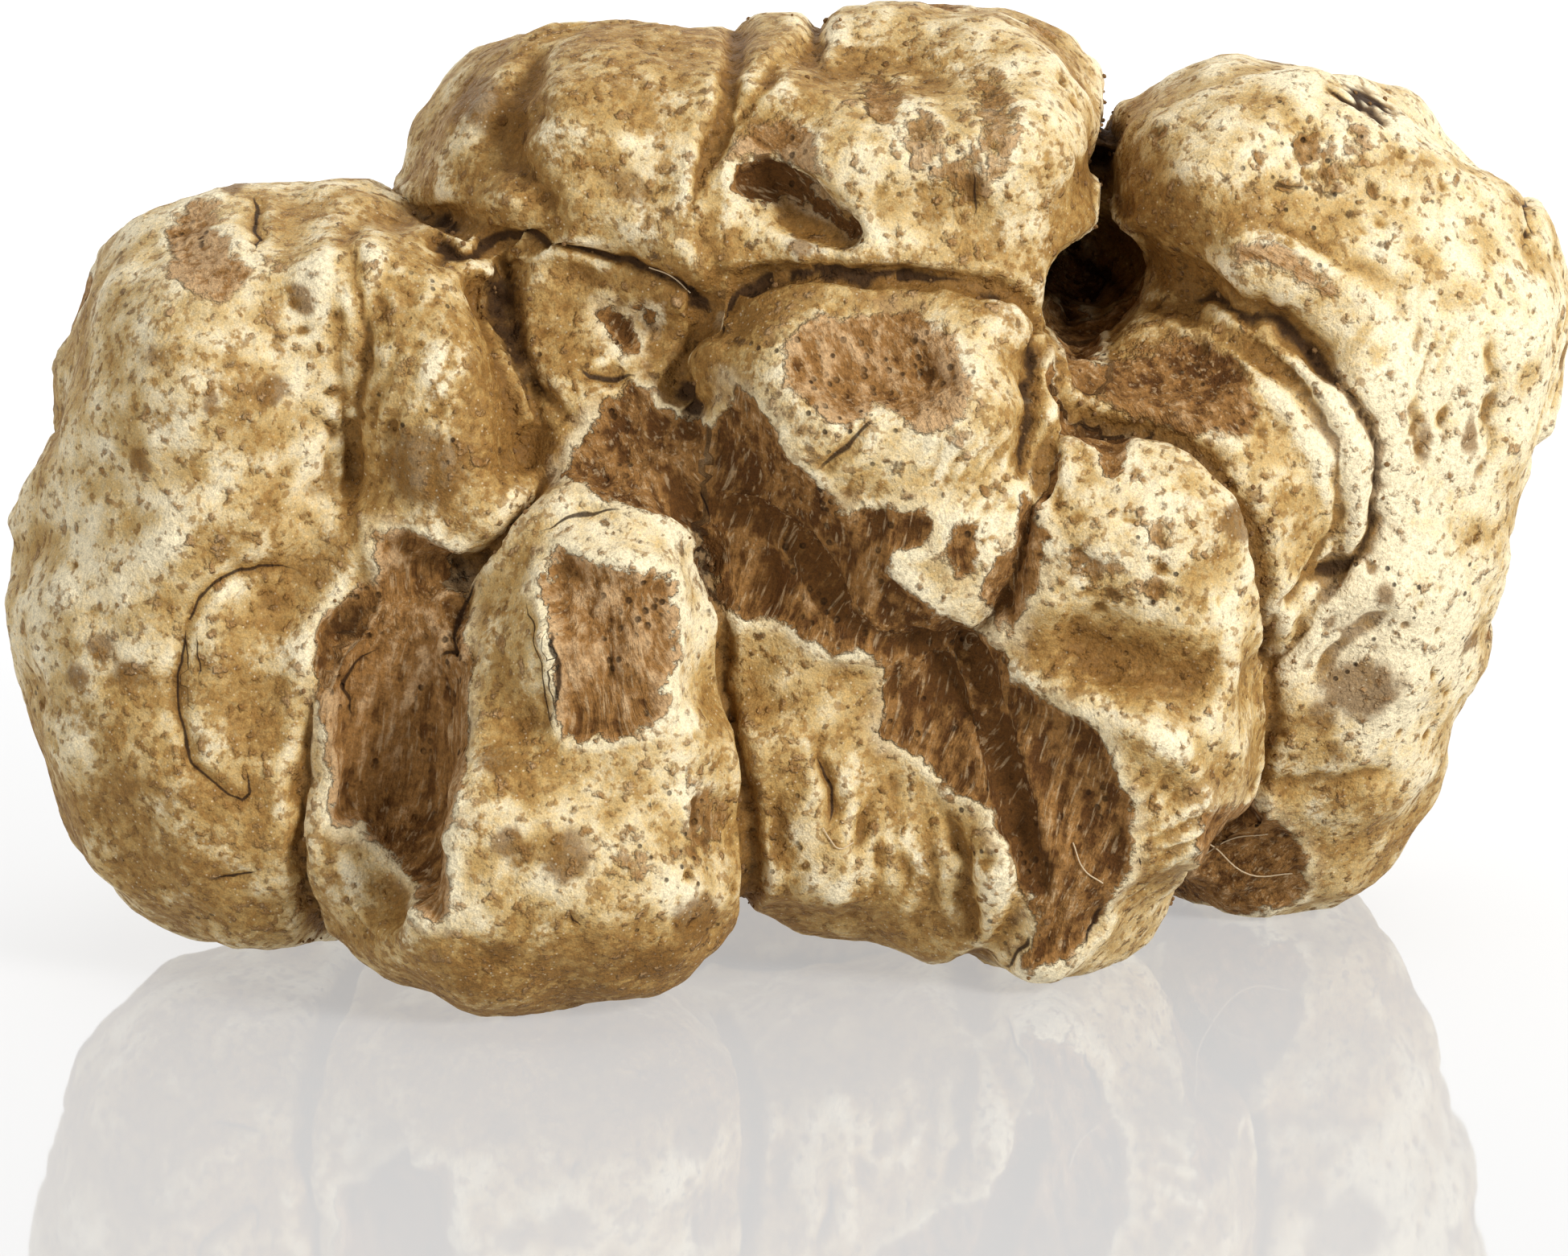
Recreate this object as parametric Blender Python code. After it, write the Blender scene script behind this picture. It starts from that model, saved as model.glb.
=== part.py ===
"""A large white truffle: one solid, knotted body of lobes, creases and torn hollows.

Metres, +Z up. +X runs along the longest side, -Y is the side with the two front feet.
The body rests on small worn flats under its lowest lobes, in the plane z = 0.
"""

import math

import bmesh
import bpy
import numpy as np
from mathutils import Matrix

MM = 0.001

# Driving dimensions, in millimetres.
CENTRE = (0.5, 2.6)      # middle of the layout below, which becomes x = 0, y = 0
ROUNDNESS = 2.3           # 2 gives ellipsoids, more gives fuller, blunter lobes
CREASE_WIDTH = 1.3        # half width of the furrow where one lobe meets the next
RIPPLE_HEIGHT = 0.13      # slow unevenness of the skin, a sum of waves that cross at random
RIPPLE_LENGTHS = (8, 20)
RIPPLE_COUNT = 14
RIPPLE_SEED = 5
GRAIN = 1.15              # voxel that the lobes are first fused at
TRIANGLES = 9800


def ball(x, y, z, half_x, half_y, half_z, lean=0):
    """One swelling: centre and half sizes, its top leaning lean degrees towards +X."""
    return np.array((x, y, z)), np.array((half_x, half_y, half_z)), math.radians(lean)


# Each growth is fused onto what stands before it in the list:
# name, softness among its own balls, softness of the joint, depth of the crease there, balls.
GROWTHS = [
    ("core", 6, 0, 0, [
        ball(-6, 6, 28, 36, 19, 21),
        ball(18, 8, 26, 24, 18, 20),
        ball(16.5, -2, 36, 6, 10, 8),
        ball(38, -1, 30, 5, 9, 9)]),
    # the far side
    ("back_left", 5, 1, 1.5, [
        ball(-31, 15, 28, 14, 14, 14),
        ball(-28, 18, 37, 11, 12, 8.5)]),
    ("back_low_left", 5, 1, 2, [
        ball(-20, 20, 11.4, 13, 13, 11.8),
        ball(-31, 14, 12.5, 9, 11, 10)]),
    ("back_middle", 5, 1, 2, [
        ball(-7, 22, 36, 13, 12, 13),
        ball(-9, 20, 46, 11, 11, 8)]),
    ("back_right", 5, 1, 2, [
        ball(16, 21, 37, 12, 12, 12),
        ball(27, 18, 40, 10, 12, 11)]),
    ("back_low_middle", 5, 1, 2, [
        ball(3, 24, 15, 12, 10, 12),
        ball(8, 22, 22, 10, 10, 10)]),
    ("back_low_right", 5, 1, 1.8, [
        ball(26, 17, 16, 12, 14, 13)]),
    ("arch_back", 5, 1, 1.8, [
        ball(37, 15, 45, 9.5, 10, 11),
        ball(41, 15, 34, 8.5, 9, 9)]),
    ("crown_back_left", 4, 1, 1.8, [
        ball(-12.5, 16, 52, 9, 9, 8),
        ball(-4, 18, 50, 7, 8, 7)]),
    ("crown_back_right", 4, 1, 1.8, [
        ball(10.5, 16, 53, 10, 9, 8.4)]),
    # the right arch, from its crown over the shoulder to the hip
    ("right_arch", 7, 1, 1.8, [
        ball(33.5, 3, 53, 10.5, 13.5, 8.6),
        ball(44.8, 3, 43.5, 10, 14, 10.5),
        ball(42.8, 5, 33, 9.2, 15, 9),
        ball(41, 5, 25, 8, 15, 8),
        ball(39, 6, 16.5, 8.3, 15, 8.4),
        ball(36, 9, 8.6, 7.6, 13, 8.2),
        ball(33.8, 11, 4.7, 6.6, 10, 5),
        ball(26, 12, 48, 4.5, 13, 4.5)]),
    ("right_tongue", 2, 1.5, 1, [
        ball(35.5, -2, 44.5, 8.5, 10, 4, 35)]),
    ("shell_rim", 2, 1, 2, [
        ball(29.5, 1, 32.5, 12, 13, 13.5)]),
    ("shell", 4, 1, 1.2, [
        ball(28, -4, 32.5, 10.7, 13, 12),
        ball(22.5, -2, 39.5, 7, 11, 5.5)]),
    # the front, below the knob: a torn valley with the apron hanging from it
    ("valley", 4, 2.5, 0.5, [
        ball(8, -5, 19, 22.5, 13, 10.5, 47),
        ball(-1, -7, 28, 7, 11, 9)]),
    ("apron", 4, 3, 0, [
        ball(1, -8.5, 16.5, 6.5, 12, 11),
        ball(7.5, -6.5, 10, 10.5, 12.5, 7.2),
        ball(1.5, -8, 9.6, 5.5, 11, 6),
        ball(12.5, -8.5, 8.6, 5.5, 11.5, 7.2)]),
    ("swag", 5, 1, 2, [
        ball(22.8, -9, 28.5, 9.8, 14, 11),
        ball(24, -9, 17, 8.7, 14, 10.5),
        ball(17.8, -6.5, 6.8, 8.3, 12.5, 7.2)]),
    # the left cheek and the fold lying against it
    ("left_cheek", 9, 1, 2, [
        ball(-37.2, -2, 42.3, 10.2, 16, 10.4),
        ball(-39.4, -2, 36.6, 8.2, 14, 9),
        ball(-41.2, -2, 22.5, 12.6, 17.5, 13),
        ball(-37.3, -5, 11, 10.5, 15, 9.8)]),
    ("left_fold", 2, 1, 1.5, [
        ball(-23.8, -7, 39, 6.3, 13, 12, -9)]),
    ("cheek_bridge", 2, 5, 0, [
        ball(-29, -6, 24, 7, 12, 10)]),
    # under the crown
    ("brow", 3, 1, 1.8, [
        ball(-12.5, -1.5, 43, 9.5, 12.5, 6, 14)]),
    ("brow_low", 3, 1.5, 1, [
        ball(-17.5, -3, 36.5, 7, 11.5, 6.5)]),
    # the crown
    ("crown_left", 4, 1, 1.5, [
        ball(-15.2, 4, 55.7, 8.7, 12, 7),
        ball(-18.5, 3, 52.5, 6.5, 11, 4.5)]),
    ("crown_front", 4, 1.5, 1.5, [
        ball(-11.5, -1, 56, 8, 12, 7),
        ball(-14, 0, 52, 9.5, 12, 3, 6),
        ball(-6.5, 3, 58.3, 4.5, 8, 4.5)]),
    ("crown_strip", 1.5, 0.8, 1.5, [
        ball(-1.5, 3, 57, 3.5, 10, 6, 25),
        ball(-1, 3, 58.3, 3.5, 9, 4.5)]),
    ("crown_right", 4, 0.8, 2, [
        ball(4.5, -2, 54.5, 10.5, 14, 7),
        ball(13, -1, 55, 8, 14, 8),
        ball(11.5, 4, 57, 9.5, 12, 8),
        ball(8, -1, 49, 10.5, 13, 4.5),
        ball(14.5, 1, 48, 5.5, 12, 5)]),
    ("crown_band", 4, 4, 0, [
        ball(-5.5, 0, 48.3, 7.5, 12, 4.6, 12)]),
    # the front
    ("knob", 4, 1, 2.2, [
        ball(5.5, -9, 40, 11.8, 14, 8),
        ball(9.5, -10, 33, 8, 13, 8)]),
    ("front_foot", 5, 1, 2.5, [
        ball(-12.5, -13, 23.8, 8, 14, 10.5),
        ball(-16.3, -15, 10.7, 13.9, 15, 11.2),
        ball(-24, -13, 10, 8, 13, 9.3),
        ball(-25.5, -9, 18, 7, 14, 13)]),
    ("neck", 3, 4, 0, [
        ball(-10.5, -8.5, 35, 7.5, 10.5, 7)]),
]

# Torn hollows, cut from the finished body: name, softness of the rim, balls.
HOLLOWS = [
    ("foot_dish", 1.2, [
        ball(-11.7, -29, 25, 5, 4.6, 6.6)]),
    ("long_trough", 2, [
        ball(-26.8, -26, 20, 4.8, 7, 13)]),
    ("crown_gouge", 1, [
        ball(0.8, -18, 54.5, 5, 5, 2, 35)]),
    ("swag_hollow", 2, [
        ball(24.5, -26.5, 25, 6.5, 5, 3, 12)]),
    ("arch_cavity", 1.5, [
        ball(21, -5, 47.3, 3.8, 13, 4.2, 20)]),
]


def ball_distance(points, swelling):
    """About how far each point lies outside one ball, in mm, below zero inside it."""
    centre, half, lean = swelling
    turned = np.array(Matrix.Rotation(lean, 3, "Y"))
    local = ((points - centre) @ turned) / half
    reach = (np.abs(local) ** ROUNDNESS).sum(axis=1) ** (1 / ROUNDNESS) + 1e-6
    slope = np.sqrt(((local / half) ** 2).sum(axis=1)) + 1e-6
    return np.sqrt((local * local).sum(axis=1)) * (reach - 1) / slope


def merge(a, b, softness):
    """The nearer of two surfaces, rounded over where they are within softness of each other."""
    if softness == 0:
        return np.minimum(a, b)
    overlap = np.maximum(softness - np.abs(a - b), 0) / softness
    return np.minimum(a, b) - overlap * overlap * softness / 4


def balls_distance(points, balls, softness):
    distance = ball_distance(points, balls[0])
    for swelling in balls[1:]:
        distance = merge(distance, ball_distance(points, swelling), softness)
    return distance


def ripple(points):
    """A slow, irregular rise and fall of the skin, in mm."""
    chance = np.random.default_rng(RIPPLE_SEED)
    height = 0
    for _ in range(RIPPLE_COUNT):
        direction = chance.normal(size=3)
        direction /= np.linalg.norm(direction)
        length = chance.uniform(*RIPPLE_LENGTHS)
        height += np.sin(points @ direction * math.tau / length + chance.uniform(0, math.tau))
    return RIPPLE_HEIGHT * height


def body_distance(points):
    """How far each point, in mm in the layout above, lies outside the truffle's skin."""
    body = None
    for _, softness, joint, crease, balls in GROWTHS:
        growth = balls_distance(points, balls, softness)
        if body is None:
            body = growth
            continue
        furrow = crease * np.exp(-(((body - growth) / CREASE_WIDTH) ** 2))
        body = merge(body, growth, joint) + furrow
    for _, rim, balls in HOLLOWS:
        body = -merge(-body, balls_distance(points, balls, rim), rim)
    return body + ripple(points)


def swellings():
    """All the balls as one rough mesh, still passing through each other."""
    bm = bmesh.new()
    for _, _, _, _, balls in GROWTHS:
        for centre, half, lean in balls:
            place = (
                Matrix.Translation(centre)
                @ Matrix.Rotation(lean, 4, "Y")
                @ Matrix.Diagonal((*half, 1))
            )
            bmesh.ops.create_icosphere(bm, subdivisions=4, radius=1, matrix=place)
    bmesh.ops.scale(bm, vec=(MM, MM, MM), verts=bm.verts)
    mesh = bpy.data.meshes.new("truffle")
    bm.to_mesh(mesh)
    bm.free()
    body = bpy.data.objects.new("truffle", mesh)
    bpy.context.collection.objects.link(body)
    return body


def bake_modifiers(body):
    graph = bpy.context.evaluated_depsgraph_get()
    baked = bpy.data.meshes.new_from_object(body.evaluated_get(graph))
    body.modifiers.clear()
    body.data = baked


def fuse(body, grain):
    """Makes one skin of whatever the mesh holds."""
    remesh = body.modifiers.new("fuse", "REMESH")
    remesh.mode = "VOXEL"
    remesh.voxel_size = grain * MM
    bake_modifiers(body)


def relax(body, times):
    """Evens out the spacing of the points."""
    bm = bmesh.new()
    bm.from_mesh(body.data)
    for _ in range(times):
        bmesh.ops.smooth_vert(
            bm, verts=bm.verts, factor=0.5, use_axis_x=True, use_axis_y=True, use_axis_z=True
        )
    bm.to_mesh(body.data)
    bm.free()


def fit_to_skin(body, steps):
    """Slides every point along the skin's own slope until it lies on the skin."""
    points = np.empty(len(body.data.vertices) * 3, np.float32)
    body.data.vertices.foreach_get("co", points)
    points = points.reshape(-1, 3).astype(np.float64) / MM
    probe = 0.1
    for _ in range(steps):
        distance = body_distance(points)
        slope = np.stack(
            [(body_distance(points + side) - distance) / probe for side in np.eye(3) * probe], axis=1
        )
        steepness = np.maximum((slope**2).sum(axis=1), 0.3)
        step = slope * (distance / steepness)[:, None]
        points -= 0.8 * np.clip(step, -0.8, 0.8)
    body.data.vertices.foreach_set("co", (points * MM).astype(np.float32).ravel())
    body.data.update()


def keep_largest_shell(bm):
    left = set(bm.verts)
    shells = []
    while left:
        shell = {left.pop()}
        edge_of_shell = list(shell)
        while edge_of_shell:
            vert = edge_of_shell.pop()
            for edge in vert.link_edges:
                other = edge.other_vert(vert)
                if other in left:
                    left.remove(other)
                    shell.add(other)
                    edge_of_shell.append(other)
        shells.append(shell)
    largest = max(shells, key=len)
    scraps = [vert for vert in bm.verts if vert not in largest]
    bmesh.ops.delete(bm, geom=scraps, context="VERTS")


def trim_base(bm):
    """Wears the lowest lobes flat in the plane z = 0."""
    everything = bm.verts[:] + bm.edges[:] + bm.faces[:]
    cut = bmesh.ops.bisect_plane(
        bm, geom=everything, plane_co=(0, 0, 0), plane_no=(0, 0, 1), clear_inner=True
    )
    rims = [item for item in cut["geom_cut"] if isinstance(item, bmesh.types.BMEdge)]
    bmesh.ops.holes_fill(bm, edges=rims, sides=0)
    bmesh.ops.triangulate(bm, faces=[face for face in bm.faces if len(face.verts) > 3])


def skin_material():
    material = bpy.data.materials.new("truffle_skin")
    material.use_nodes = True
    shader = material.node_tree.nodes["Principled BSDF"]
    shader.inputs["Base Color"].default_value = (0.56, 0.40, 0.20, 1)
    shader.inputs["Roughness"].default_value = 0.75
    shader.inputs["Metallic"].default_value = 0
    return material


def build_truffle():
    body = swellings()
    fuse(body, GRAIN)
    relax(body, 4)
    fit_to_skin(body, 3)
    relax(body, 2)
    fit_to_skin(body, 3)
    fuse(body, GRAIN)
    relax(body, 3)
    fit_to_skin(body, 3)
    relax(body, 1)
    bm = bmesh.new()
    bm.from_mesh(body.data)
    keep_largest_shell(bm)
    bmesh.ops.triangulate(bm, faces=bm.faces)
    skin_triangles = len(bm.faces)
    bm.to_mesh(body.data)
    bm.free()
    thin = body.modifiers.new("thin", "DECIMATE")
    thin.ratio = TRIANGLES / skin_triangles
    bake_modifiers(body)
    bm = bmesh.new()
    bm.from_mesh(body.data)
    trim_base(bm)
    bmesh.ops.translate(bm, vec=(-CENTRE[0] * MM, -CENTRE[1] * MM, 0), verts=bm.verts)
    bmesh.ops.recalc_face_normals(bm, faces=bm.faces)
    bm.to_mesh(body.data)
    bm.free()
    body.data.shade_smooth()
    body.data.materials.clear()
    body.data.materials.append(skin_material())
    return body


for old in list(bpy.data.objects):
    bpy.data.objects.remove(old)
build_truffle()
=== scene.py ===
import math
import time
import bmesh
import bpy
import numpy as np
from mathutils import Matrix, Vector, noise
from mathutils.bvhtree import BVHTree


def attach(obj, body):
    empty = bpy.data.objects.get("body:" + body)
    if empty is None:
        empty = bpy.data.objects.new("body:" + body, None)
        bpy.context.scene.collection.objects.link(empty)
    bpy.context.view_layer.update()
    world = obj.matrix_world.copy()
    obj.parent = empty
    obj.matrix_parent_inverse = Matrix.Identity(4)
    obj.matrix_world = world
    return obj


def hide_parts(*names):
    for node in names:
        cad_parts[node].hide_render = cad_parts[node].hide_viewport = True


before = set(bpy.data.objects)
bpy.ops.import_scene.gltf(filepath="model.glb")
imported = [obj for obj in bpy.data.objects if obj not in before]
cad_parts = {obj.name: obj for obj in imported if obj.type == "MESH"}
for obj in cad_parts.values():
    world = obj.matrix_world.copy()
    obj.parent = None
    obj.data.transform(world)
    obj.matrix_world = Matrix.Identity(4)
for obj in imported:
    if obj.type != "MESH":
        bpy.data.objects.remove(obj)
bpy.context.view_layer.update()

startTime = time.time()


def report(stage):
    print(f"{stage}: {time.time() - startTime:.0f} s")


# The body is laid out in millimetres, with x and y shifted so that its middle is at the origin.
layout = {"mm": 0.001, "middleX": 0.5, "middleY": 2.6}

body = {
    "roundness": 2.3,  # 2 gives ellipsoids, more gives blunter lobes
    "seamWidth": 0.7,  # half width of the furrow where one lobe meets the next, mm
    "seamDepth": 1.2,  # times the depth in the list of lobes
    "seamFill": 5.0,  # how far the lobes are pressed into one another at the seams, mm
    "soilWidth": 2.2,  # how far the soil and painted shade in a seam spread, mm
    "rippleHeight": 0.13,
    "rippleLengths": (8, 20),
    "rippleCount": 14,
    "rippleSeed": 5,
    "roughGrain": 1.0,  # mm between points of the first, rough skin
    "fineGrain": 0.46,  # mm between points of the finished skin
    "reach": 12,  # mm past which one lobe has no say in the skin
    "triangles": 192000,
}


def ball(x, y, z, halfX, halfY, halfZ, lean=0):
    return np.array((x, y, z)), np.array((halfX, halfY, halfZ)), math.radians(lean)


# name, softness among its own balls, softness of the joint, depth of the seam there, balls
lobes = [
    ("core", 6, 0, 0, [
        ball(-6, 6, 28, 36, 19, 21),
        ball(18, 8, 26, 24, 18, 20),
        ball(16.5, -2, 36, 6, 10, 8),
        ball(38, -1, 30, 5, 9, 9)]),
    ("backLeft", 5, 1, 1.5, [
        ball(-31, 15, 28, 14, 14, 14),
        ball(-28, 18, 37, 11, 12, 8.5)]),
    ("backLowLeft", 5, 1, 2, [
        ball(-20, 20, 11.4, 13, 13, 11.8),
        ball(-31, 14, 12.5, 9, 11, 10)]),
    ("backMiddle", 5, 1, 2, [
        ball(-7, 22, 36, 13, 12, 13),
        ball(-9, 20, 46, 11, 11, 8)]),
    ("backRight", 5, 1, 2, [
        ball(16, 21, 37, 12, 12, 12),
        ball(27, 18, 40, 10, 12, 11)]),
    ("backLowMiddle", 5, 1, 2, [
        ball(3, 24, 15, 12, 10, 12),
        ball(8, 22, 22, 10, 10, 10)]),
    ("backLowRight", 5, 1, 1.8, [
        ball(26, 17, 16, 12, 14, 13)]),
    ("archBack", 5, 1, 1.8, [
        ball(37, 15, 45, 9.5, 10, 11),
        ball(41, 15, 34, 8.5, 9, 9)]),
    ("crownBackLeft", 4, 1, 1.8, [
        ball(-12.5, 16, 52, 9, 9, 8),
        ball(-4, 18, 50, 7, 8, 7)]),
    ("crownBackRight", 4, 1, 1.8, [
        ball(10.5, 16, 53, 10, 9, 8.4)]),
    ("rightArch", 7, 1, 1.8, [
        ball(33.5, 3, 53, 10.5, 13.5, 8.6),
        ball(44.8, 3, 43.5, 10, 14, 10.5),
        ball(42.8, 5, 33, 9.2, 15, 9),
        ball(41, 5, 25, 8, 15, 8),
        ball(39, 6, 16.5, 8.3, 15, 8.4),
        ball(36, 9, 8.6, 7.6, 13, 8.2),
        ball(33.8, 11, 4.7, 6.6, 10, 5),
        ball(26, 12, 48, 4.5, 13, 4.5)]),
    ("rightTongue", 4, 4, 0.3, [
        ball(34.8, -2, 48, 8.2, 10.8, 3.4, 27),
        ball(40.6, -2, 41.5, 3.6, 10.4, 5.5, 20)]),
    ("shellRim", 2, 1, 1, [
        ball(29.5, 1, 32.5, 12, 13, 13.5)]),
    ("shell", 4, 1, 0.6, [
        ball(28, -4, 32.5, 10.7, 13, 12),
        ball(22.5, -2, 39.5, 7, 11, 5.5)]),
    ("valley", 4, 2.5, 0.5, [
        ball(8, -5, 19, 22.5, 13, 10.5, 47),
        ball(-1, -7, 28, 7, 11, 9)]),
    ("apron", 4, 3, 0, [
        ball(1, -8.5, 16.5, 6.5, 12, 11),
        ball(7.5, -6.5, 10, 10.5, 12.5, 7.2),
        ball(1.5, -8, 9.6, 5.5, 11, 6),
        ball(12.5, -8.5, 8.6, 5.5, 11.5, 7.2)]),
    ("swag", 5, 1, 1.5, [
        ball(22.8, -9, 28.5, 9.8, 14, 11),
        ball(24, -9, 17, 8.7, 14, 10.5),
        ball(17.8, -6.5, 6.8, 8.3, 12.5, 7.2)]),
    ("leftCheek", 9, 1, 2, [
        ball(-37.2, -2, 42.3, 10.2, 16, 10.4),
        ball(-39.4, -2, 36.6, 8.2, 14, 9),
        ball(-41.2, -2, 22.5, 12.6, 17.5, 13),
        ball(-37.3, -5, 11, 10.5, 15, 9.8)]),
    ("leftFold", 2, 1, 0.5, [
        ball(-23.8, -7, 39, 6.3, 13, 12, -9)]),
    ("cheekBridge", 2, 5, 0, [
        ball(-29, -6, 24, 7, 12, 10)]),
    ("brow", 3, 1, 1.8, [
        ball(-12.5, -1.5, 43, 9.5, 12.5, 6, 14)]),
    ("browLow", 3, 1.5, 1, [
        ball(-17.5, -3, 36.5, 7, 11.5, 6.5)]),
    ("crownLeft", 4, 1, 1.5, [
        ball(-15.2, 4, 55.7, 8.7, 12, 7),
        ball(-18.5, 3, 52.5, 6.5, 11, 4.5)]),
    ("crownFront", 4, 3, 0.3, [
        ball(-11.5, -1, 56, 8, 12, 7),
        ball(-14, 0, 52, 9.5, 12, 3, 6),
        ball(-6.5, 3, 58.3, 4.5, 8, 4.5)]),
    ("crownStrip", 1.5, 0.8, 1.5, [
        ball(-1.5, 3, 57, 3.5, 10, 6, 25),
        ball(-1, 3, 58.3, 3.5, 9, 4.5)]),
    ("crownRight", 4, 0.8, 2, [
        ball(4.5, -2, 54.5, 10.5, 14, 7),
        ball(13, -1, 55, 8, 14, 8),
        ball(11.5, 4, 57, 9.5, 12, 8),
        ball(8, -1, 49, 10.5, 13, 4.5),
        ball(14.5, 1, 48, 5.5, 12, 5)]),
    ("crownBand", 4, 4, 0, [
        ball(-5.5, 0, 48.3, 7.5, 12, 4.6, 12)]),
    ("knob", 4, 1, 0.8, [
        ball(5.5, -9, 40, 11.8, 14, 8),
        ball(1.5, -8, 42, 6.2, 12.6, 6),
        ball(9.7, -8, 42.2, 6.2, 12.6, 5.8),
        ball(9.5, -10, 33, 8, 13, 8)]),
    ("frontFoot", 5, 1, 1.5, [
        ball(-12.5, -13, 23.8, 8, 14, 10.5),
        ball(-16.3, -15, 10.7, 13.9, 15, 11.2),
        ball(-24, -13, 10, 8, 13, 9.3),
        ball(-25.5, -9, 18, 7, 14, 13)]),
    ("neck", 3, 4, 0, [
        ball(-10.5, -8.5, 35, 7.5, 10.5, 7)]),
    ("foldFill", 4, 3, 0, [
        ball(-29.5, -4.5, 45, 4, 11.8, 8.5),
        ball(-26.5, -7, 30, 5, 12, 5.5)]),
    ("troughFloor", 4, 3, 0, [
        ball(-29.3, -6, 20, 3.6, 13.6, 10)]),
    ("valleyFloor", 4, 4, 0, [
        ball(0, -6, 33, 5, 12.8, 5),
        ball(7, -5, 27, 6, 13.2, 4.5, 45),
        ball(13, -5, 21, 4.5, 13, 5),
        ball(15.5, -6, 16.5, 4, 12.8, 5),
        ball(16.5, -6, 11.5, 4, 13.2, 6.5),
        ball(17, -6, 4.5, 5, 12.6, 4),
        ball(17, -5, 38.5, 3, 12, 6)]),
    ("rimFill", 4, 3, 0, [
        ball(37, -1, 39.5, 4, 12, 5),
        ball(38.3, -1, 34, 3.5, 12, 5.5),
        ball(37.5, -1, 28, 3.5, 10.5, 5),
        ball(32, -1, 45.3, 5, 11, 2.6, 22),
        ball(34.5, 0, 21, 4, 10.3, 6)]),
    ("crownFill", 3, 3, 0, [
        ball(-3, 0, 58.3, 5, 11.6, 4.6),
        ball(0, 2, 59.8, 3, 10, 3.3),
        ball(-5, -1, 54.5, 3.5, 13.2, 5.5),
        ball(5.5, -1.5, 51, 12, 15, 4.2),
        ball(-6, -1.5, 49, 6.5, 12.5, 3.4, 15)]),
]

# torn hollows cut from the finished body: name, softness of the rim, balls
hollows = [
    ("longTrough", 2, [
        ball(-26.8, -26, 20, 4.8, 7, 13)]),
    ("crownGouge", 1, [
        ball(0.8, -18, 54.5, 5, 5, 2, 35)]),
    ("knobFacet", 1.5, [
        ball(6.5, -25, 45.5, 6.3, 4.9, 4.5)]),
    ("swagHollow", 3, [
        ball(24.5, -26.5, 24.6, 6.5, 5, 3, 12)]),
    ("archCavity", 1.5, [
        ball(21, -5, 47.3, 3.8, 13, 4.2, 20)]),
]


def ballDistance(points, swelling):
    # about how far each point lies outside one ball, in mm
    centre, half, lean = swelling
    distance = np.full(len(points), float(body["reach"]))
    near = np.nonzero(np.abs(points - centre).max(axis=1) < half.max() + body["reach"])[0]
    turned = np.array(Matrix.Rotation(lean, 3, "Y"))
    local = ((points[near] - centre) @ turned) / half
    size = (np.abs(local) ** body["roundness"]).sum(axis=1) ** (1 / body["roundness"]) + 1e-6
    slope = np.sqrt(((local / half) ** 2).sum(axis=1)) + 1e-6
    exact = np.sqrt((local * local).sum(axis=1)) * (size - 1) / slope
    distance[near] = np.minimum(exact, body["reach"])
    return distance


def merge(a, b, softness):
    if softness == 0:
        return np.minimum(a, b)
    overlap = np.maximum(softness - np.abs(a - b), 0) / softness
    return np.minimum(a, b) - overlap * overlap * softness / 4


def ballsDistance(points, balls, softness):
    distance = ballDistance(points, balls[0])
    for swelling in balls[1:]:
        distance = merge(distance, ballDistance(points, swelling), softness)
    return distance


def ripple(points):
    chance = np.random.default_rng(body["rippleSeed"])
    height = 0
    for _ in range(body["rippleCount"]):
        direction = chance.normal(size=3)
        direction /= np.linalg.norm(direction)
        length = chance.uniform(*body["rippleLengths"])
        height += np.sin(points @ direction * math.tau / length + chance.uniform(0, math.tau))
    return body["rippleHeight"] * height


def bodyDistance(points, withSeams=False):
    # how far each point lies outside the skin, and how near it is to a seam between lobes
    skin = None
    seamSoilAndShade = np.zeros(len(points))
    for _, softness, joint, depth, balls in lobes:
        lobe = ballsDistance(points, balls, softness)
        if skin is None:
            skin = lobe
            continue
        closeness = np.exp(-(((skin - lobe) / body["seamWidth"]) ** 2))
        if withSeams:
            # near each seam the skin is marked for soil and painted shade
            seamSoilAndShade = np.where(lobe < skin, 0, seamSoilAndShade)
            wide = np.exp(-(((skin - lobe) / body["soilWidth"]) ** 2))
            seamSoilAndShade = np.maximum(seamSoilAndShade, min(depth, 2) / 2 * wide)
        fill = max(joint, body["seamFill"]) if depth else joint
        skin = merge(skin, lobe, fill) + body["seamDepth"] * depth * closeness
    for _, rim, balls in hollows:
        skin = -merge(-skin, ballsDistance(points, balls, rim), rim)
    skin = skin + ripple(points)
    return (skin, seamSoilAndShade) if withSeams else skin


def meshPoints(mesh):
    points = np.empty(len(mesh.vertices) * 3, np.float32)
    mesh.vertices.foreach_get("co", points)
    return points.reshape(-1, 3).astype(np.float64)


def setMeshPoints(mesh, points):
    mesh.vertices.foreach_set("co", points.astype(np.float32).ravel())
    mesh.update()


def meshNormals(mesh):
    normals = np.empty(len(mesh.vertices) * 3, np.float32)
    mesh.vertex_normals.foreach_get("vector", normals)
    return normals.reshape(-1, 3).astype(np.float64)


def bakeModifiers(piece):
    graph = bpy.context.evaluated_depsgraph_get()
    baked = bpy.data.meshes.new_from_object(piece.evaluated_get(graph))
    piece.modifiers.clear()
    piece.data = baked


def fuse(piece, grain):
    remesh = piece.modifiers.new("fuse", "REMESH")
    remesh.mode = "VOXEL"
    remesh.voxel_size = grain
    bakeModifiers(piece)


def averaged(points, edges, times):
    # each point moved to the mean of itself and its neighbours, several times over
    count = np.bincount(edges.ravel(), minlength=len(points))[:, None] + 1
    for _ in range(times):
        total = points.copy()
        for axis in range(points.shape[1]):
            total[:, axis] += np.bincount(edges[:, 0], points[edges[:, 1], axis], len(points))
            total[:, axis] += np.bincount(edges[:, 1], points[edges[:, 0], axis], len(points))
        points = total / count
    return points


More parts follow.
